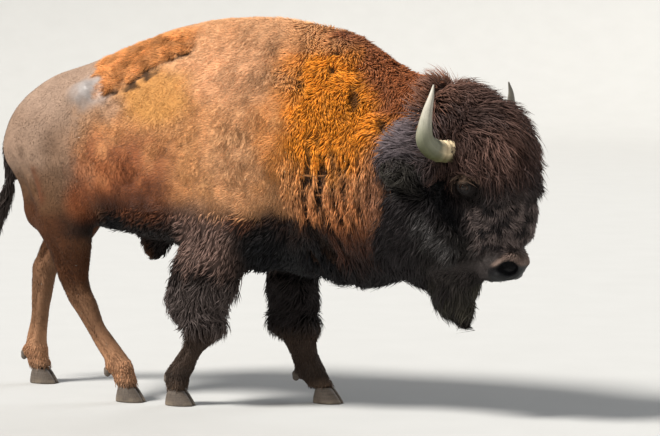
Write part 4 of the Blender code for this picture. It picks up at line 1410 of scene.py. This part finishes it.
FRINGE_TOP = 0.098     # tufts rooted below this hang free over the hooves
ROOT_DEPTH = 0.003     # how far under the skin a tuft starts
PROBE = 0.02           # height of the second place over the skin that shows the way up
WAVE_STEP = 1.5        # how far a lock's wave goes on at each ring, in radians
RISE_POWER = 0.8       # a lock's height over the skin goes as its share to this power
PATCH = 0.003          # size of a tuft's own patch in the unwrap
BARE_THINNING = 0.97   # share of the tufts left out on bare skin


def laid(root, normal, weights, length, lift, bend, wave, phase, rings):
    """The middle line of each lock, ring by ring, and the way up at each ring."""
    hanging = (root[:, 2] < FRINGE_TOP)[:, None]
    line, ups = [root - ROOT_DEPTH * normal], [normal]
    place, up = root, normal
    for k in range(1, rings + 1):
        way = lie_of(place, weights)
        way = unit(way - (way * up).sum(1, keepdims=True) * up)
        angle = bend + wave * np.sin(phase + WAVE_STEP * k)
        way = np.cos(angle)[:, None] * way + np.sin(angle)[:, None] * np.cross(up, way)
        ahead = place + (length / rings)[:, None] * way
        low = projected(ahead, Hide.points, Hide.faces, 0.0)
        lifted = unit(projected(ahead, Hide.points, Hide.faces, PROBE) - low)
        place, up = np.where(hanging, ahead, low), np.where(hanging, up, lifted)
        line.append(place + (lift * (k / rings) ** RISE_POWER)[:, None] * up)
        ups.append(up)
    return np.array(line), np.array(ups)


def prisms(line, ups, width):
    """Closed three-sided prisms along the lines, a low roof in section, drawn to a point at the tip."""
    rings, total = len(line) - 1, line.shape[1]
    taper = np.interp(np.linspace(0, 1, rings + 1), (0, 0.25, 0.6, 1.0), (0.70, 1.0, 0.75, 0.0))
    tangent = unit(np.gradient(line, axis=0))
    sideways = unit(np.cross(tangent, ups))
    above = np.cross(sideways, tangent)
    half = width[None, :, None] * taper[:, None, None] / 2
    body = np.stack([line - half * sideways, line + half * sideways, line + 0.75 * half * above], 2)[:-1]
    points = np.concatenate([body.transpose(1, 0, 2, 3).reshape(total, -1, 3), line[-1][:, None]], 1)
    template = [(0, 1, 2)]
    for low in range(0, 3 * rings - 3, 3):
        for j in range(3):
            i = (j + 1) % 3
            template += [(low + j, low + 3 + i, low + i), (low + j, low + 3 + j, low + 3 + i)]
    tip = 3 * rings
    template += [(tip - 3 + j, tip, tip - 3 + (j + 1) % 3) for j in range(3)]
    faces = (np.arange(total)[:, None, None] * (tip + 1) + np.array(template)).reshape(-1, 3)
    return points.reshape(-1, 3), faces


def grow_coat(name, chosen, count, rings, seed, material):
    """A coat piece: tapered, flattened locks of hair as closed prisms, each laid along the body.

    A lock starts at its root and takes equal steps.  Each step goes the way the coat lies, turned aside
    by the swirl of the place and by the lock's own wave, then drops to the skin and rises to its height
    there, which grows as the share of its length to a power."""
    faces_chosen = np.flatnonzero(chosen)
    centres = Hide.points[Hide.faces[faces_chosen]].mean(1)
    crowd = zone_weights(centres) @ HAIR[:, 5] * (1 - BARE_THINNING * bareness(centres))
    root, normal, flat, random = roots_on(faces_chosen, crowd, count, seed)
    total = len(root)

    def spread(amount, least, most):
        return np.clip(1 + amount * random.standard_normal(total), least, most)

    weights = zone_weights(root)
    length, lift, width, swirl, wave, _ = (weights @ HAIR).T
    # how much painted shade darkens a tuft's root: less on short hair
    shade = 0.45 + 0.55 * smooth(lift, 0.003, 0.012)
    crevice = np.maximum(cape_crevices(root), wool_edge(root))
    clump = noise(root, 0.040, seed % 7 + 31) + 0.5 * noise(root, (0.020, 0.020, 0.045), seed % 7 + 41)
    stand = np.clip(0.80 + 0.45 * clump + 0.20 * random.standard_normal(total), 0.15, 1.7)
    clear = smooth(eye_gap(root), 0.030, 0.120) * (1 - 0.50 * in_face_hollow(root))
    length = length * spread(0.22, 0.5, 1.5) * (1 - 0.35 * crevice) * (0.35 + 0.65 * clear)
    lift = lift * stand * (1 - 0.85 * crevice) * (0.25 + 0.75 * clear)
    width = width * spread(0.25, 0.5, 1.6)
    bend = swirl * (noise(root, 0.085, 51) + 0.8 * noise(root, 0.030, 52)) * 1.2
    bend += 0.13 * random.standard_normal(total)
    phase = 3.0 * noise(root, 0.050, 53) + 0.6 * random.standard_normal(total)
    line, ups = laid(root, normal, weights, length, lift, bend, wave, phase, rings)
    points, faces = prisms(line, ups, width)
    along = np.append(np.repeat(np.linspace(0, 1, rings + 1)[:-1], 3), 1.0)
    across = np.append(np.tile((0.0, 1.0, 0.5), rings), 0.5)
    patch = np.stack([across, along], 1) * PATCH - PATCH / 2
    flat_points = np.clip(flat[:, None] + patch, 0, 1).reshape(-1, 2)
    attributes = {
        "marking": np.repeat(markings(root), len(along), 0),
        "along": (1 - (1 - along) * shade[:, None]).ravel(),
        "own": np.repeat(random.random(total), len(along)),
    }
    mesh = mesh_of(name, points, faces, attributes, "OFBake", flat_points[faces.ravel()])
    return piece(name, mesh, material)


# ---------------------------------------------------------------- properties
def triple(subtype, name, description, value, **limits):
    return FloatVectorProperty(
        name=name, description=description, subtype=subtype, size=3, default=value, **limits
    )


def colour_of(name, description, value):
    return triple("COLOR", name, description, value, min=0, max=1)


def place_of(name, description, value):
    return triple("TRANSLATION", name, description, value)


def number(name, description, default, **limits):
    return FloatProperty(name=name, description=description, default=default, **limits)


def whole_number(name, description, default, **limits):
    return IntProperty(name=name, description=description, default=default, **limits)


class BisonBuild(PropertyGroup):
    trunk_gain: number("Trunk detail", "How much finer the mesh is on the trunk", 0.60, min=0.2)
    skin_limit: whole_number("Skin triangles", "Most triangles of the skin", 188000, min=20000)
    skin_grid: number("Skin grid", "Size of the skin's mesh", 0.0110, min=0.008, unit="LENGTH")
    skin_smoothing: whole_number("Skin smoothing", "Relaxing passes over the skin", 12, min=0)
    face_gain: number("Face detail", "How much finer the mesh is at eyes and muzzle", 3.0, min=1)
    eye_radius: number("Eye radius", "Radius of the eyeball", 0.024, unit="LENGTH")
    coat_share: number("Coat", "Share of the full number of tufts", 1.0, min=0.05, max=1.2, subtype="FACTOR")


class BisonColours(PropertyGroup):
    flank: colour_of("Flank", "Brown wool of the ribs", (0.565, 0.268, 0.108))
    # the back's wool, lighter also as painted light from above
    back: colour_of("Back", "Sun-bleached wool along the back", (0.580, 0.320, 0.170))
    bleached: colour_of("Bleached back", "Palest wool behind the hump", (0.800, 0.440, 0.235))
    rump: colour_of("Rump", "Short greyish-brown hair of the rump", (0.335, 0.226, 0.163))
    haunch: colour_of("Haunch", "Darker mauve-brown hair down the haunch", (0.200, 0.116, 0.070))
    haunch_low: colour_of("Lower haunch", "Dark brown hair low on the haunch", (0.118, 0.058, 0.028))
    thigh: colour_of("Thigh", "Red-brown hair of the thigh", (0.445, 0.172, 0.070))
    red_flank: colour_of("Lower flank", "Deep red-brown wool low on the flank", (0.270, 0.080, 0.028))
    plum: colour_of("Plum", "Dark purple-brown of the lower flank", (0.130, 0.044, 0.020))
    # near-black belly hair; also painted shade in the flank fold and behind the forelegs
    underside: colour_of("Underside", "Near-black belly hair", (0.010, 0.006, 0.005))
    tan_patch: colour_of("Tan patch", "Orange-tan hair below the loin", (0.520, 0.240, 0.066))
    shed_wool: colour_of("Shed wool", "Rust-coloured old wool on the loin", (0.800, 0.340, 0.112))
    # rubbed grey hide, paler also as a painted highlight
    bare_hip_and_highlight: colour_of("Bare hip", "Rubbed grey hide on the hip bone", (0.300, 0.282, 0.278))
    cape: colour_of("Cape", "Orange ochre wool of the cape", (0.730, 0.250, 0.014))
    cape_top: colour_of("Cape top", "Brown-mauve hair on the crest of the hump", (0.280, 0.090, 0.040))
    cape_low: colour_of("Lower cape", "Rust-brown matted locks low on the cape", (0.350, 0.115, 0.032))
    cape_rust: colour_of("Cape edge", "Rust brown where the cape meets the mane", (0.280, 0.125, 0.070))
    mane: colour_of("Mane", "Black-brown hair of neck, head and beard", (0.0135, 0.0110, 0.0115))
    mop: colour_of("Mop", "Dark brown locks on the crown", (0.078, 0.043, 0.034))
    # brown locks of the mop, also a painted highlight on its lit side and top
    mop_brown_and_highlight: colour_of("Mop highlight", "Browner locks on the side of the mop", (0.160, 0.088, 0.068))
    beard: colour_of("Beard", "Grey-brown hair of the beard", (0.038, 0.034, 0.025))
    # painted highlight on the black hair of the jaw
    painted_jaw_light: colour_of("Jaw hair", "Grey hair edging the hollow under the horn", (0.072, 0.067, 0.066))
    ear: colour_of("Ear", "Grey-tipped curls of ears and cheeks", (0.030, 0.027, 0.022))
    muzzle_fur: colour_of("Muzzle hair", "Brown-grey hair above the nose", (0.058, 0.048, 0.045))
    nose: colour_of("Nose", "Bare dark nose pad", (0.007, 0.006, 0.006))
    # brown skin of the nostril's rim, with a painted highlight above
    brown_lit_nose_rim: colour_of("Nose rim", "Brown skin arching over the nostril", (0.230, 0.160, 0.130))
    # dark skin round the eye, also painted shade
    lid_skin_and_shade: colour_of("Lids", "Dark skin round the eye", (0.012, 0.009, 0.008))
    eyelid: colour_of("Eyelid", "Brown skin over the eye", (0.230, 0.150, 0.105))
    breeches: colour_of("Breeches", "Curly grey-black hair of the forelegs", (0.080, 0.062, 0.057))
    fore_cannon: colour_of("Fore cannon", "Dark hair below the knee", (0.040, 0.026, 0.019))
    hind_leg: colour_of("Hind leg", "Brown hair of the gaskin", (0.075, 0.026, 0.009))
    hind_cannon: colour_of("Hind cannon", "Lighter brown hair below the hock", (0.230, 0.120, 0.065))
    hind_foot: colour_of("Hind foot", "Pale brown hair low on the hind legs", (0.480, 0.250, 0.135))
    pastern: colour_of("Pastern", "Hair above the hoof", (0.110, 0.070, 0.045))
    tail: colour_of("Tail", "Dark grey-brown tail", (0.032, 0.024, 0.021))
    face: colour_of("Face", "Brown-black curls of the face", (0.160, 0.122, 0.112))
    # painted highlight on the black hair of the neck
    painted_neck_sheen: colour_of("Neck sheen", "Blue-grey sheen on the side of the neck", (0.115, 0.093, 0.100))
    # browner hair, lighter also as painted light
    breeches_top_brown_and_lit: colour_of("Upper breeches", "Sun-browned top of the foreleg hair", (0.225, 0.142, 0.116))
    # painted shade: face hollow, under the mop, nostrils, eyes, between and on the forelegs, before the hind
    # legs
    hollow: colour_of("Hollow", "Deep shade between cheek and face", (0.004, 0.004, 0.005))
    crevice: colour_of("Crevice", "Shadow between matted locks", (0.018, 0.008, 0.004))
    horn_base: colour_of("Horn base", "Tan horn at the skull", (0.950, 0.760, 0.480))
    horn_middle: colour_of("Horn bend", "Grey-olive horn", (0.270, 0.270, 0.195))
    horn_tip: colour_of("Horn tip", "Ivory tip", (0.450, 0.420, 0.350))
    # olive stain, darkened as painted shade on the horn's underside
    horn_shadow: colour_of("Horn underside", "Olive stain below the bend", (0.050, 0.055, 0.008))
    hoof: colour_of("Hoof", "Dark grey-brown hoof horn", (0.060, 0.046, 0.037))
    hoof_light: colour_of("Hoof streaks", "Lighter fibres of the hoof", (0.130, 0.102, 0.080))
    dust: colour_of("Dust", "Dry earth on the hooves", (0.220, 0.175, 0.125))
    iris: colour_of("Iris", "Dark brown iris", (0.020, 0.010, 0.006))
    iris_rim: colour_of("Iris rim", "Darker rim of the iris", (0.010, 0.005, 0.003))
    eye_white: colour_of("Eye corner", "Brown corner of the eye", (0.060, 0.035, 0.025))


class BisonStage(PropertyGroup):
    camera: place_of("Camera", "Place of the camera", (5.578, -10.662, 1.820))
    target: place_of("Target", "Place the camera looks at", (0.460, 0.030, 0.890))
    lens: number("Lens", "Focal length on a 36 mm sensor, in millimetres", 140.7)
    key: number("Key light", "Strength of the high soft light", 5.6)
    fill: number("Back light", "Strength of the light from behind", 1.0)
    softness: number("Softness", "Angle the key light is spread over", radians(16), subtype="ANGLE")
    sky: number("Room light", "Strength of the light from all round", 0.32)


# ---------------------------------------------------------------- operators
class BISON_OT_skin(Operator):
    """Builds one skin in place of the flesh solids"""

    bl_idname = "bison.skin"
    bl_label = "Skin"

    def execute(self, context):
        points, faces, edges = flesh_shell()
        points = sculpted(points, faces, edges)
        whole, all_faces = points, faces
        for _, side in SIDES:
            lid_points, lid_faces = lids_of(side, points, faces)
            all_faces = np.concatenate([all_faces, lid_faces + len(whole)])
            whole = np.concatenate([whole, lid_points])
        forget_wrap_target()
        weights = zone_weights(whole)
        attributes = {
            "marking": markings(whole), "bare": bareness(whole),
            # cover: how much painted shade the long coat lays on the skin
            "cover": smooth(weights @ HAIR[:, 1], 0.006, 0.025), "sheen": gloss(whole, weights),
        }
        obj = piece("skin", mesh_of("skin", whole, all_faces, attributes), hide_finish(), FLESH)
        Hide.points, Hide.faces, Hide.normals = points, faces, normals_of(points, faces)
        Hide.unwrap = read_unwrap(obj)[:len(faces)]
        return {"FINISHED"}


class BISON_OT_eyes(Operator):
    """Builds both eyes: a ball with a bulging cornea, r = R (1 + 0.06 bump(angle from its axis))"""

    bl_idname = "bison.eyes"
    bl_label = "Eyes"

    def execute(self, context):
        radius = context.scene.bison_build.eye_radius
        material = eye_finish()
        angle, t = over_ball(40, 0.03), turn(48)
        reach = radius * (1 + 0.06 * smooth(angle, 0.75, 0.35))
        a, b = reach * np.sin(angle) * np.cos(t), reach * np.sin(angle) * np.sin(t)
        c = reach * np.cos(angle) + 0 * t
        for label, side in SIDES:
            outward, along, above = eye_axes(side)
            rings = EYES[side] + a[..., None] * along + b[..., None] * above + c[..., None] * outward
            points, faces = capped_grid(rings)
            local = (points - EYES[side]) / radius
            ring = np.arccos(np.clip(unit(local) @ outward, -1, 1))
            pupil = np.sqrt((local @ along / 0.34) ** 2 + (local @ above / 0.17) ** 2)
            pupil = pupil + 9.0 * (local @ outward < 0)
            mesh = mesh_of("eye_" + label, points, facing_out(points, faces), {"ring": ring, "pupil": pupil})
            piece("eyeball_" + label, mesh, material, ("eye_" + label,))
        return {"FINISHED"}


HORN_RINGS, HORN_SIDES = 120, 56
FAR_HORN_SHADE = 0.40     # painted shade: the left horn is darker, as one seen against the light


def with_caps(grid):
    """A value for each place of a grid and for the middle of each end, as capped_grid lists them."""
    return np.concatenate([grid.ravel(), [grid[0].mean(), grid[-1].mean()]])


class BISON_OT_horns(Operator):
    """Builds both horns: rings carried along a curve, with growth rings at the base and long fibres"""

    bl_idname = "bison.horns"
    bl_label = "Horns"

    def execute(self, context):
        material = horn_finish()
        keys = through(HORN_KEYS, HORN_RINGS)
        share = np.linspace(0, 1, HORN_RINGS)
        t = turn(HORN_SIDES)
        where = np.stack(np.broadcast_arrays(np.cos(t), np.sin(t), share[:, None] * 1.6), -1).reshape(-1, 3)

        def streaks(size, seed):
            return noise(where, size, seed).reshape(HORN_RINGS, HORN_SIDES)

        fibre = streaks((0.10, 0.10, 0.9), 71) + 0.6 * streaks((0.05, 0.05, 0.4), 72)
        lumps = streaks((0.5, 0.5, 0.12), 73)
        base = smooth(share, 0.60, 0.30)[:, None]
        rings_at = np.sin(share * 95 + 1.4 * noise(np.stack([share * 9, share, share], 1), 1.0, 74))[:, None]
        relief = 0.0011 * fibre * (1 - 0.6 * share[:, None]) + base * (0.0014 * rings_at + 0.0024 * lumps)
        radius = keys[:, 3:] + (relief - 0.0014)
        for label, side in SIDES:
            centre = from_head(keys[:, :3] * (1, side, 1))
            tangent = unit(np.gradient(centre, axis=0))
            front = unit(np.cross(tangent, np.cross(HEAD_AXES[2], tangent)))
            flank = np.cross(tangent, front)
            rings = centre[:, None] + radius[..., None] * (
                np.cos(t)[None, :, None] * front[:, None] + np.sin(t)[None, :, None] * flank[:, None]
            )
            points, faces = capped_grid(rings)
            # the underside of the horn, for painted shade
            below = smooth(0.5 - 0.5 * (rings - centre[:, None])[..., 2] / radius, 0.45, 0.95)
            attributes = {
                "along": with_caps(share[:, None] + 0 * radius), "underside_shade": with_caps(below),
                "fibre": with_caps(0.5 + 0.35 * fibre),
                "own": np.full(len(points), 1.0 if side < 0 else FAR_HORN_SHADE),
            }
            mesh = mesh_of("horn_" + label, points, facing_out(points, faces), attributes)
            piece("horn_sheath_" + label, mesh, material, ("horn_" + label,))
        return {"FINISHED"}


CLAW_LENGTH, CLAW_WIDTH, TOE_SLOPE, HEEL_SLOPE, CORONET_HEIGHT = 0.146, 0.060, 0.62, 0.10, 0.0744
INNER_FLATTENING, TOE_PINCH = 0.60, 0.16
SOLE_HEIGHT = 0.0002     # how far the claws stand over the ground


def claw_rings(inward, rows=26, columns=40):
    """Half a cloven hoof about its own middle.

    At height z the toe is at L/2 - slope z and the heel at -L/2 + slope z; between them the outline is an
    ellipse that bulges less towards the cleft and turns its toe in.  Growth rings ripple the wall."""
    t = turn(columns)
    z = np.linspace(0, CORONET_HEIGHT, rows)[:, None]
    heights = (0.0, 0.006, 0.030, 0.052, 0.066, CORONET_HEIGHT)
    share = np.interp(z, heights, (0.95, 1.0, 0.985, 0.93, 0.85, 0.74))
    ripple = 0.004 * np.sin(z * 520 + 1.2 * np.cos(t)) * smooth(z, 0.004, 0.02)
    share = share * (0.992 + ripple)
    toe, heel = CLAW_LENGTH / 2 - TOE_SLOPE * z, -CLAW_LENGTH / 2 + HEEL_SLOPE * z
    along = (toe + heel) / 2 + (toe - heel) / 2 * share * np.cos(t)
    across = CLAW_WIDTH / 2 * share * np.sin(t)
    across = np.where(across * inward > 0, INNER_FLATTENING * across, across)
    across = across + inward * TOE_PINCH * CLAW_WIDTH * np.clip(np.cos(t), 0, 1) ** 2
    across = inward * np.minimum(across * inward, INNER_FLATTENING * CLAW_WIDTH / 2)
    rings = np.stack([along, across, z + 0 * t], -1)
    sole = rings[:1] * (0.9, 0.9, 1) + (0, 0, 0.0015)
    crown = rings[-1:] * (0.9, 0.6, 1) - (0, 0, 0.001)
    return np.concatenate([sole, rings, crown])


class BISON_OT_hooves(Operator):
    """Builds the sixteen hooves and dewclaws in place of their solids"""

    bl_idname = "bison.hooves"
    bl_label = "Hooves"

    def execute(self, context):
        material = hoof_finish()
        for limb in ("fore", "hind"):
            for label, side in SIDES:
                for part, inward in (("inner", side), ("outer", -side)):
                    self.claw(f"{limb}hoof_{label}_{part}", inward, material)
                    self.spur(f"{limb}dewclaw_{label}_{part}", material)
        return {"FINISHED"}

    def claw(self, node, inward, material):
        low, high = (np.array(corner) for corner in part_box(node))
        rings = claw_rings(inward)
        offset = (low + high) / 2 - (rings.reshape(-1, 3).min(0) + rings.reshape(-1, 3).max(0)) / 2
        offset[2] = SOLE_HEIGHT
        self.add(node.replace("hoof", "claw"), rings + offset, material, node, high[2])

    def spur(self, node, material):
        """A dewclaw: a ball as large as its solid, with a droop that waves round it."""
        low, high = (np.array(corner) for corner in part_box(node))
        angle, t = over_ball(16, 0.05), turn(20)
        half = (high - low) / 2 * 0.98
        droop = 1 + 0.10 * np.sin(t * 3 + 4 * angle)
        local = np.stack([
            half[0] * np.sin(angle) * np.cos(t) * droop, half[1] * np.sin(angle) * np.sin(t),
            half[2] * np.cos(angle) + 0 * t,
        ], -1)
        self.add(node.replace("dewclaw", "spur"), local + (low + high) / 2, material, node, high[2])

    def add(self, name, rings, material, node, top):
        points, faces = capped_grid(rings)
        mesh = mesh_of(name, points, facing_out(points, faces), {"height": points[:, 2] / top})
        piece(name, mesh, material, (node,))


# Coat pieces: zones, side (0 for both), number of tufts, rings of each, finish, slot.
COATS = {
    "coat_mop": (("mop",), 0, 7000, 4, "mane_hair", "mane_hair"),
    "coat_face": (("face", "muzzle", "eyelids"), 0, 11000, 2, "mane_hair", "mane_hair"),
    "coat_cheeks": (("cheek", "crest"), 0, 5200, 3, "mane_hair", "mane_hair"),
    "coat_beard": (("beard",), 0, 2800, 4, "mane_hair", "mane_hair"),
    "coat_ears": (("ear",), 0, 1500, 3, "mane_hair", "mane_hair"),
    "coat_mane": (("mane",), 0, 6400, 3, "mane_hair", "mane_hair"),
    "coat_brisket": (("brisket",), 0, 3600, 3, "mane_hair", "mane_hair"),
    "coat_cape_right": (("cape", "cape locks"), -1, 9500, 2, "wool", "cape_wool"),
    "coat_cape_left": (("cape", "cape locks"), 1, 9500, 2, "wool", "cape_wool"),
    "coat_shoulder_right": (("hump", "shoulder"), -1, 15000, 1, "wool", "body_coat"),
    "coat_shoulder_left": (("hump", "shoulder"), 1, 15000, 1, "wool", "body_coat"),
    "coat_flank_right": (("ribs", "tan patch", "shed wool"), -1, 25000, 1, "wool", "body_coat"),
    "coat_flank_left": (("ribs", "tan patch", "shed wool"), 1, 25000, 1, "wool", "body_coat"),
    "coat_rump": (("rump", "thigh", "bare hip"), 0, 30000, 1, "wool", "body_coat"),
    "coat_underline": (("underline",), 0, 4400, 2, "mane_hair", "body_coat"),
    "coat_forelegs": (("breeches", "fore cannon"), 0, 5800, 3, "mane_hair", "mane_hair"),
    "coat_hindlegs": (("gaskin", "hind cannon"), 0, 13500, 1, "wool", "leg_coat"),
    "coat_fetlocks": (("fetlock",), 0, 3200, 2, "wool", "leg_coat"),
    "coat_tail": (("tail dock", "tail tuft"), 0, 1500, 4, "mane_hair", "tail_hair"),
}
FIRST_SEED = 101       # each coat piece has the seed after the piece before it


class BISON_OT_coat(Operator):
    """Grows the coat: locks and tufts over the whole skin"""

    bl_idname = "bison.coat"
    bl_label = "Coat"

    def execute(self, context):
        if Hide.points is None:
            raise RuntimeError("build the skin before the coat")
        share = context.scene.bison_build.coat_share
        finishes = {
            "wool": fur_finish("wool", 0.70, 0.05, 0.70),
            "mane_hair": fur_finish("mane_hair", 0.52, 0.0, 0.95),
        }
        centres = Hide.points[Hide.faces].mean(1)
        strongest = np.array(list(ZONES))[zone_weights(centres).argmax(1)]
        for seed, (name, (zones, side, count, rings, finish, slot)) in enumerate(COATS.items(), FIRST_SEED):
            chosen = np.isin(strongest, zones)
            if side:
                chosen &= centres[:, 1] * side > 0
            grow_coat(name, chosen, int(count * share), rings, seed, finishes[finish])
        forget_wrap_target()
        return {"FINISHED"}


def sun_light(name, source, softness, strength, colour):
    """A distant lamp that shines from one direction, spread over an angle as a wide soft box is."""
    light = bpy.data.lights.new(name, "SUN")
    light.angle, light.energy, light.color = softness, strength, colour
    linked(name, light).rotation_euler = (-Vector(source)).to_track_quat("-Z", "Y").to_euler()


FLOOR_RADIUS, COVE, WALL_HEIGHT, FLOOR_DROP = 26.0, 8.0, 14.0, 0.001
FLOOR_SIDES, COVE_RINGS = 128, 17
KEY_FROM, BACK_FROM = (-0.50, -0.62, 0.95), (0.35, 0.85, 0.60)
DAYLIGHT, WARM_WHITE = (0.93, 0.96, 1.0), (1.0, 0.965, 0.91)


class BISON_OT_stage(Operator):
    """Builds the floor, the lights and the camera"""

    bl_idname = "bison.stage"
    bl_label = "Stage"

    def execute(self, context):
        stage = context.scene.bison_stage
        t = turn(FLOOR_SIDES)
        rise = np.linspace(0, pi / 2, COVE_RINGS)
        radius = np.concatenate([(1.0, 24.0), FLOOR_RADIUS + COVE * np.sin(rise), (FLOOR_RADIUS + COVE,)])
        height = np.concatenate([(0.0, 0.0), COVE * (1 - np.cos(rise)), (WALL_HEIGHT,)]) - FLOOR_DROP
        rings = np.stack([
            radius[:, None] * np.cos(t), radius[:, None] * np.sin(t), height[:, None] + 0 * t,
        ], -1)
        points = np.concatenate([rings.reshape(-1, 3), ((0, 0, -FLOOR_DROP),)])
        k = np.arange(len(t))
        middle = np.stack([np.full(len(t), len(points) - 1), k, (k + 1) % len(t)], 1)
        faces = np.concatenate([middle, triangles_of(grid_faces(len(radius), len(t)))[:, ::-1]])
        floor = linked("floor", mesh_of("floor", points, faces))
        floor.data.materials.append(floor_finish())
        sun_light("key_light", KEY_FROM, stage.softness, stage.key, WARM_WHITE)
        sun_light("back_light", BACK_FROM, stage.softness * 2, stage.fill, DAYLIGHT)
        world = bpy.data.worlds.new("studio")
        world.use_nodes = True
        sky = world.node_tree.nodes["Background"]
        sky.inputs["Color"].default_value = (*DAYLIGHT, 1.0)
        sky.inputs["Strength"].default_value = stage.sky
        context.scene.world = world
        context.scene.view_settings.view_transform = "Standard"
        camera = linked("camera", bpy.data.cameras.new("camera"))
        camera.data.sensor_width, camera.data.lens = 36.0, stage.lens
        camera.data.clip_end = 200.0
        camera.location = stage.camera
        sight = Vector(stage.target) - Vector(stage.camera)
        camera.rotation_euler = sight.to_track_quat("-Z", "Y").to_euler()
        context.scene.camera = camera
        return {"FINISHED"}


class BISON_PT_panel(Panel):
    """Lists the pieces in the order they are built"""

    bl_idname = "BISON_PT_panel"
    bl_label = "American Bison"
    bl_space_type = "VIEW_3D"
    bl_region_type = "UI"
    bl_category = "Bison"

    def draw(self, context):
        for operator in OPERATORS:
            self.layout.operator(operator.bl_idname)
        for group in (context.scene.bison_build, context.scene.bison_stage, context.scene.bison_colours):
            box = self.layout.box()
            for key in group.bl_rna.properties.keys():
                if key not in ("rna_type", "name"):
                    box.prop(group, key)


GROUPS = {"bison_build": BisonBuild, "bison_colours": BisonColours, "bison_stage": BisonStage}
OPERATORS = (BISON_OT_skin, BISON_OT_eyes, BISON_OT_horns, BISON_OT_hooves, BISON_OT_coat, BISON_OT_stage)


def register():
    for made in (*GROUPS.values(), *OPERATORS, BISON_PT_panel):
        bpy.utils.register_class(made)
    for key, group in GROUPS.items():
        setattr(bpy.types.Scene, key, PointerProperty(type=group))


def unregister():
    for key in GROUPS:
        delattr(bpy.types.Scene, key)
    for made in reversed((*GROUPS.values(), *OPERATORS, BISON_PT_panel)):
        bpy.utils.unregister_class(made)


def main():
    register()
    for operator in OPERATORS:
        group, name = operator.bl_idname.split(".")
        getattr(getattr(bpy.ops, group), name)()


if __name__ == "__main__":
    main()
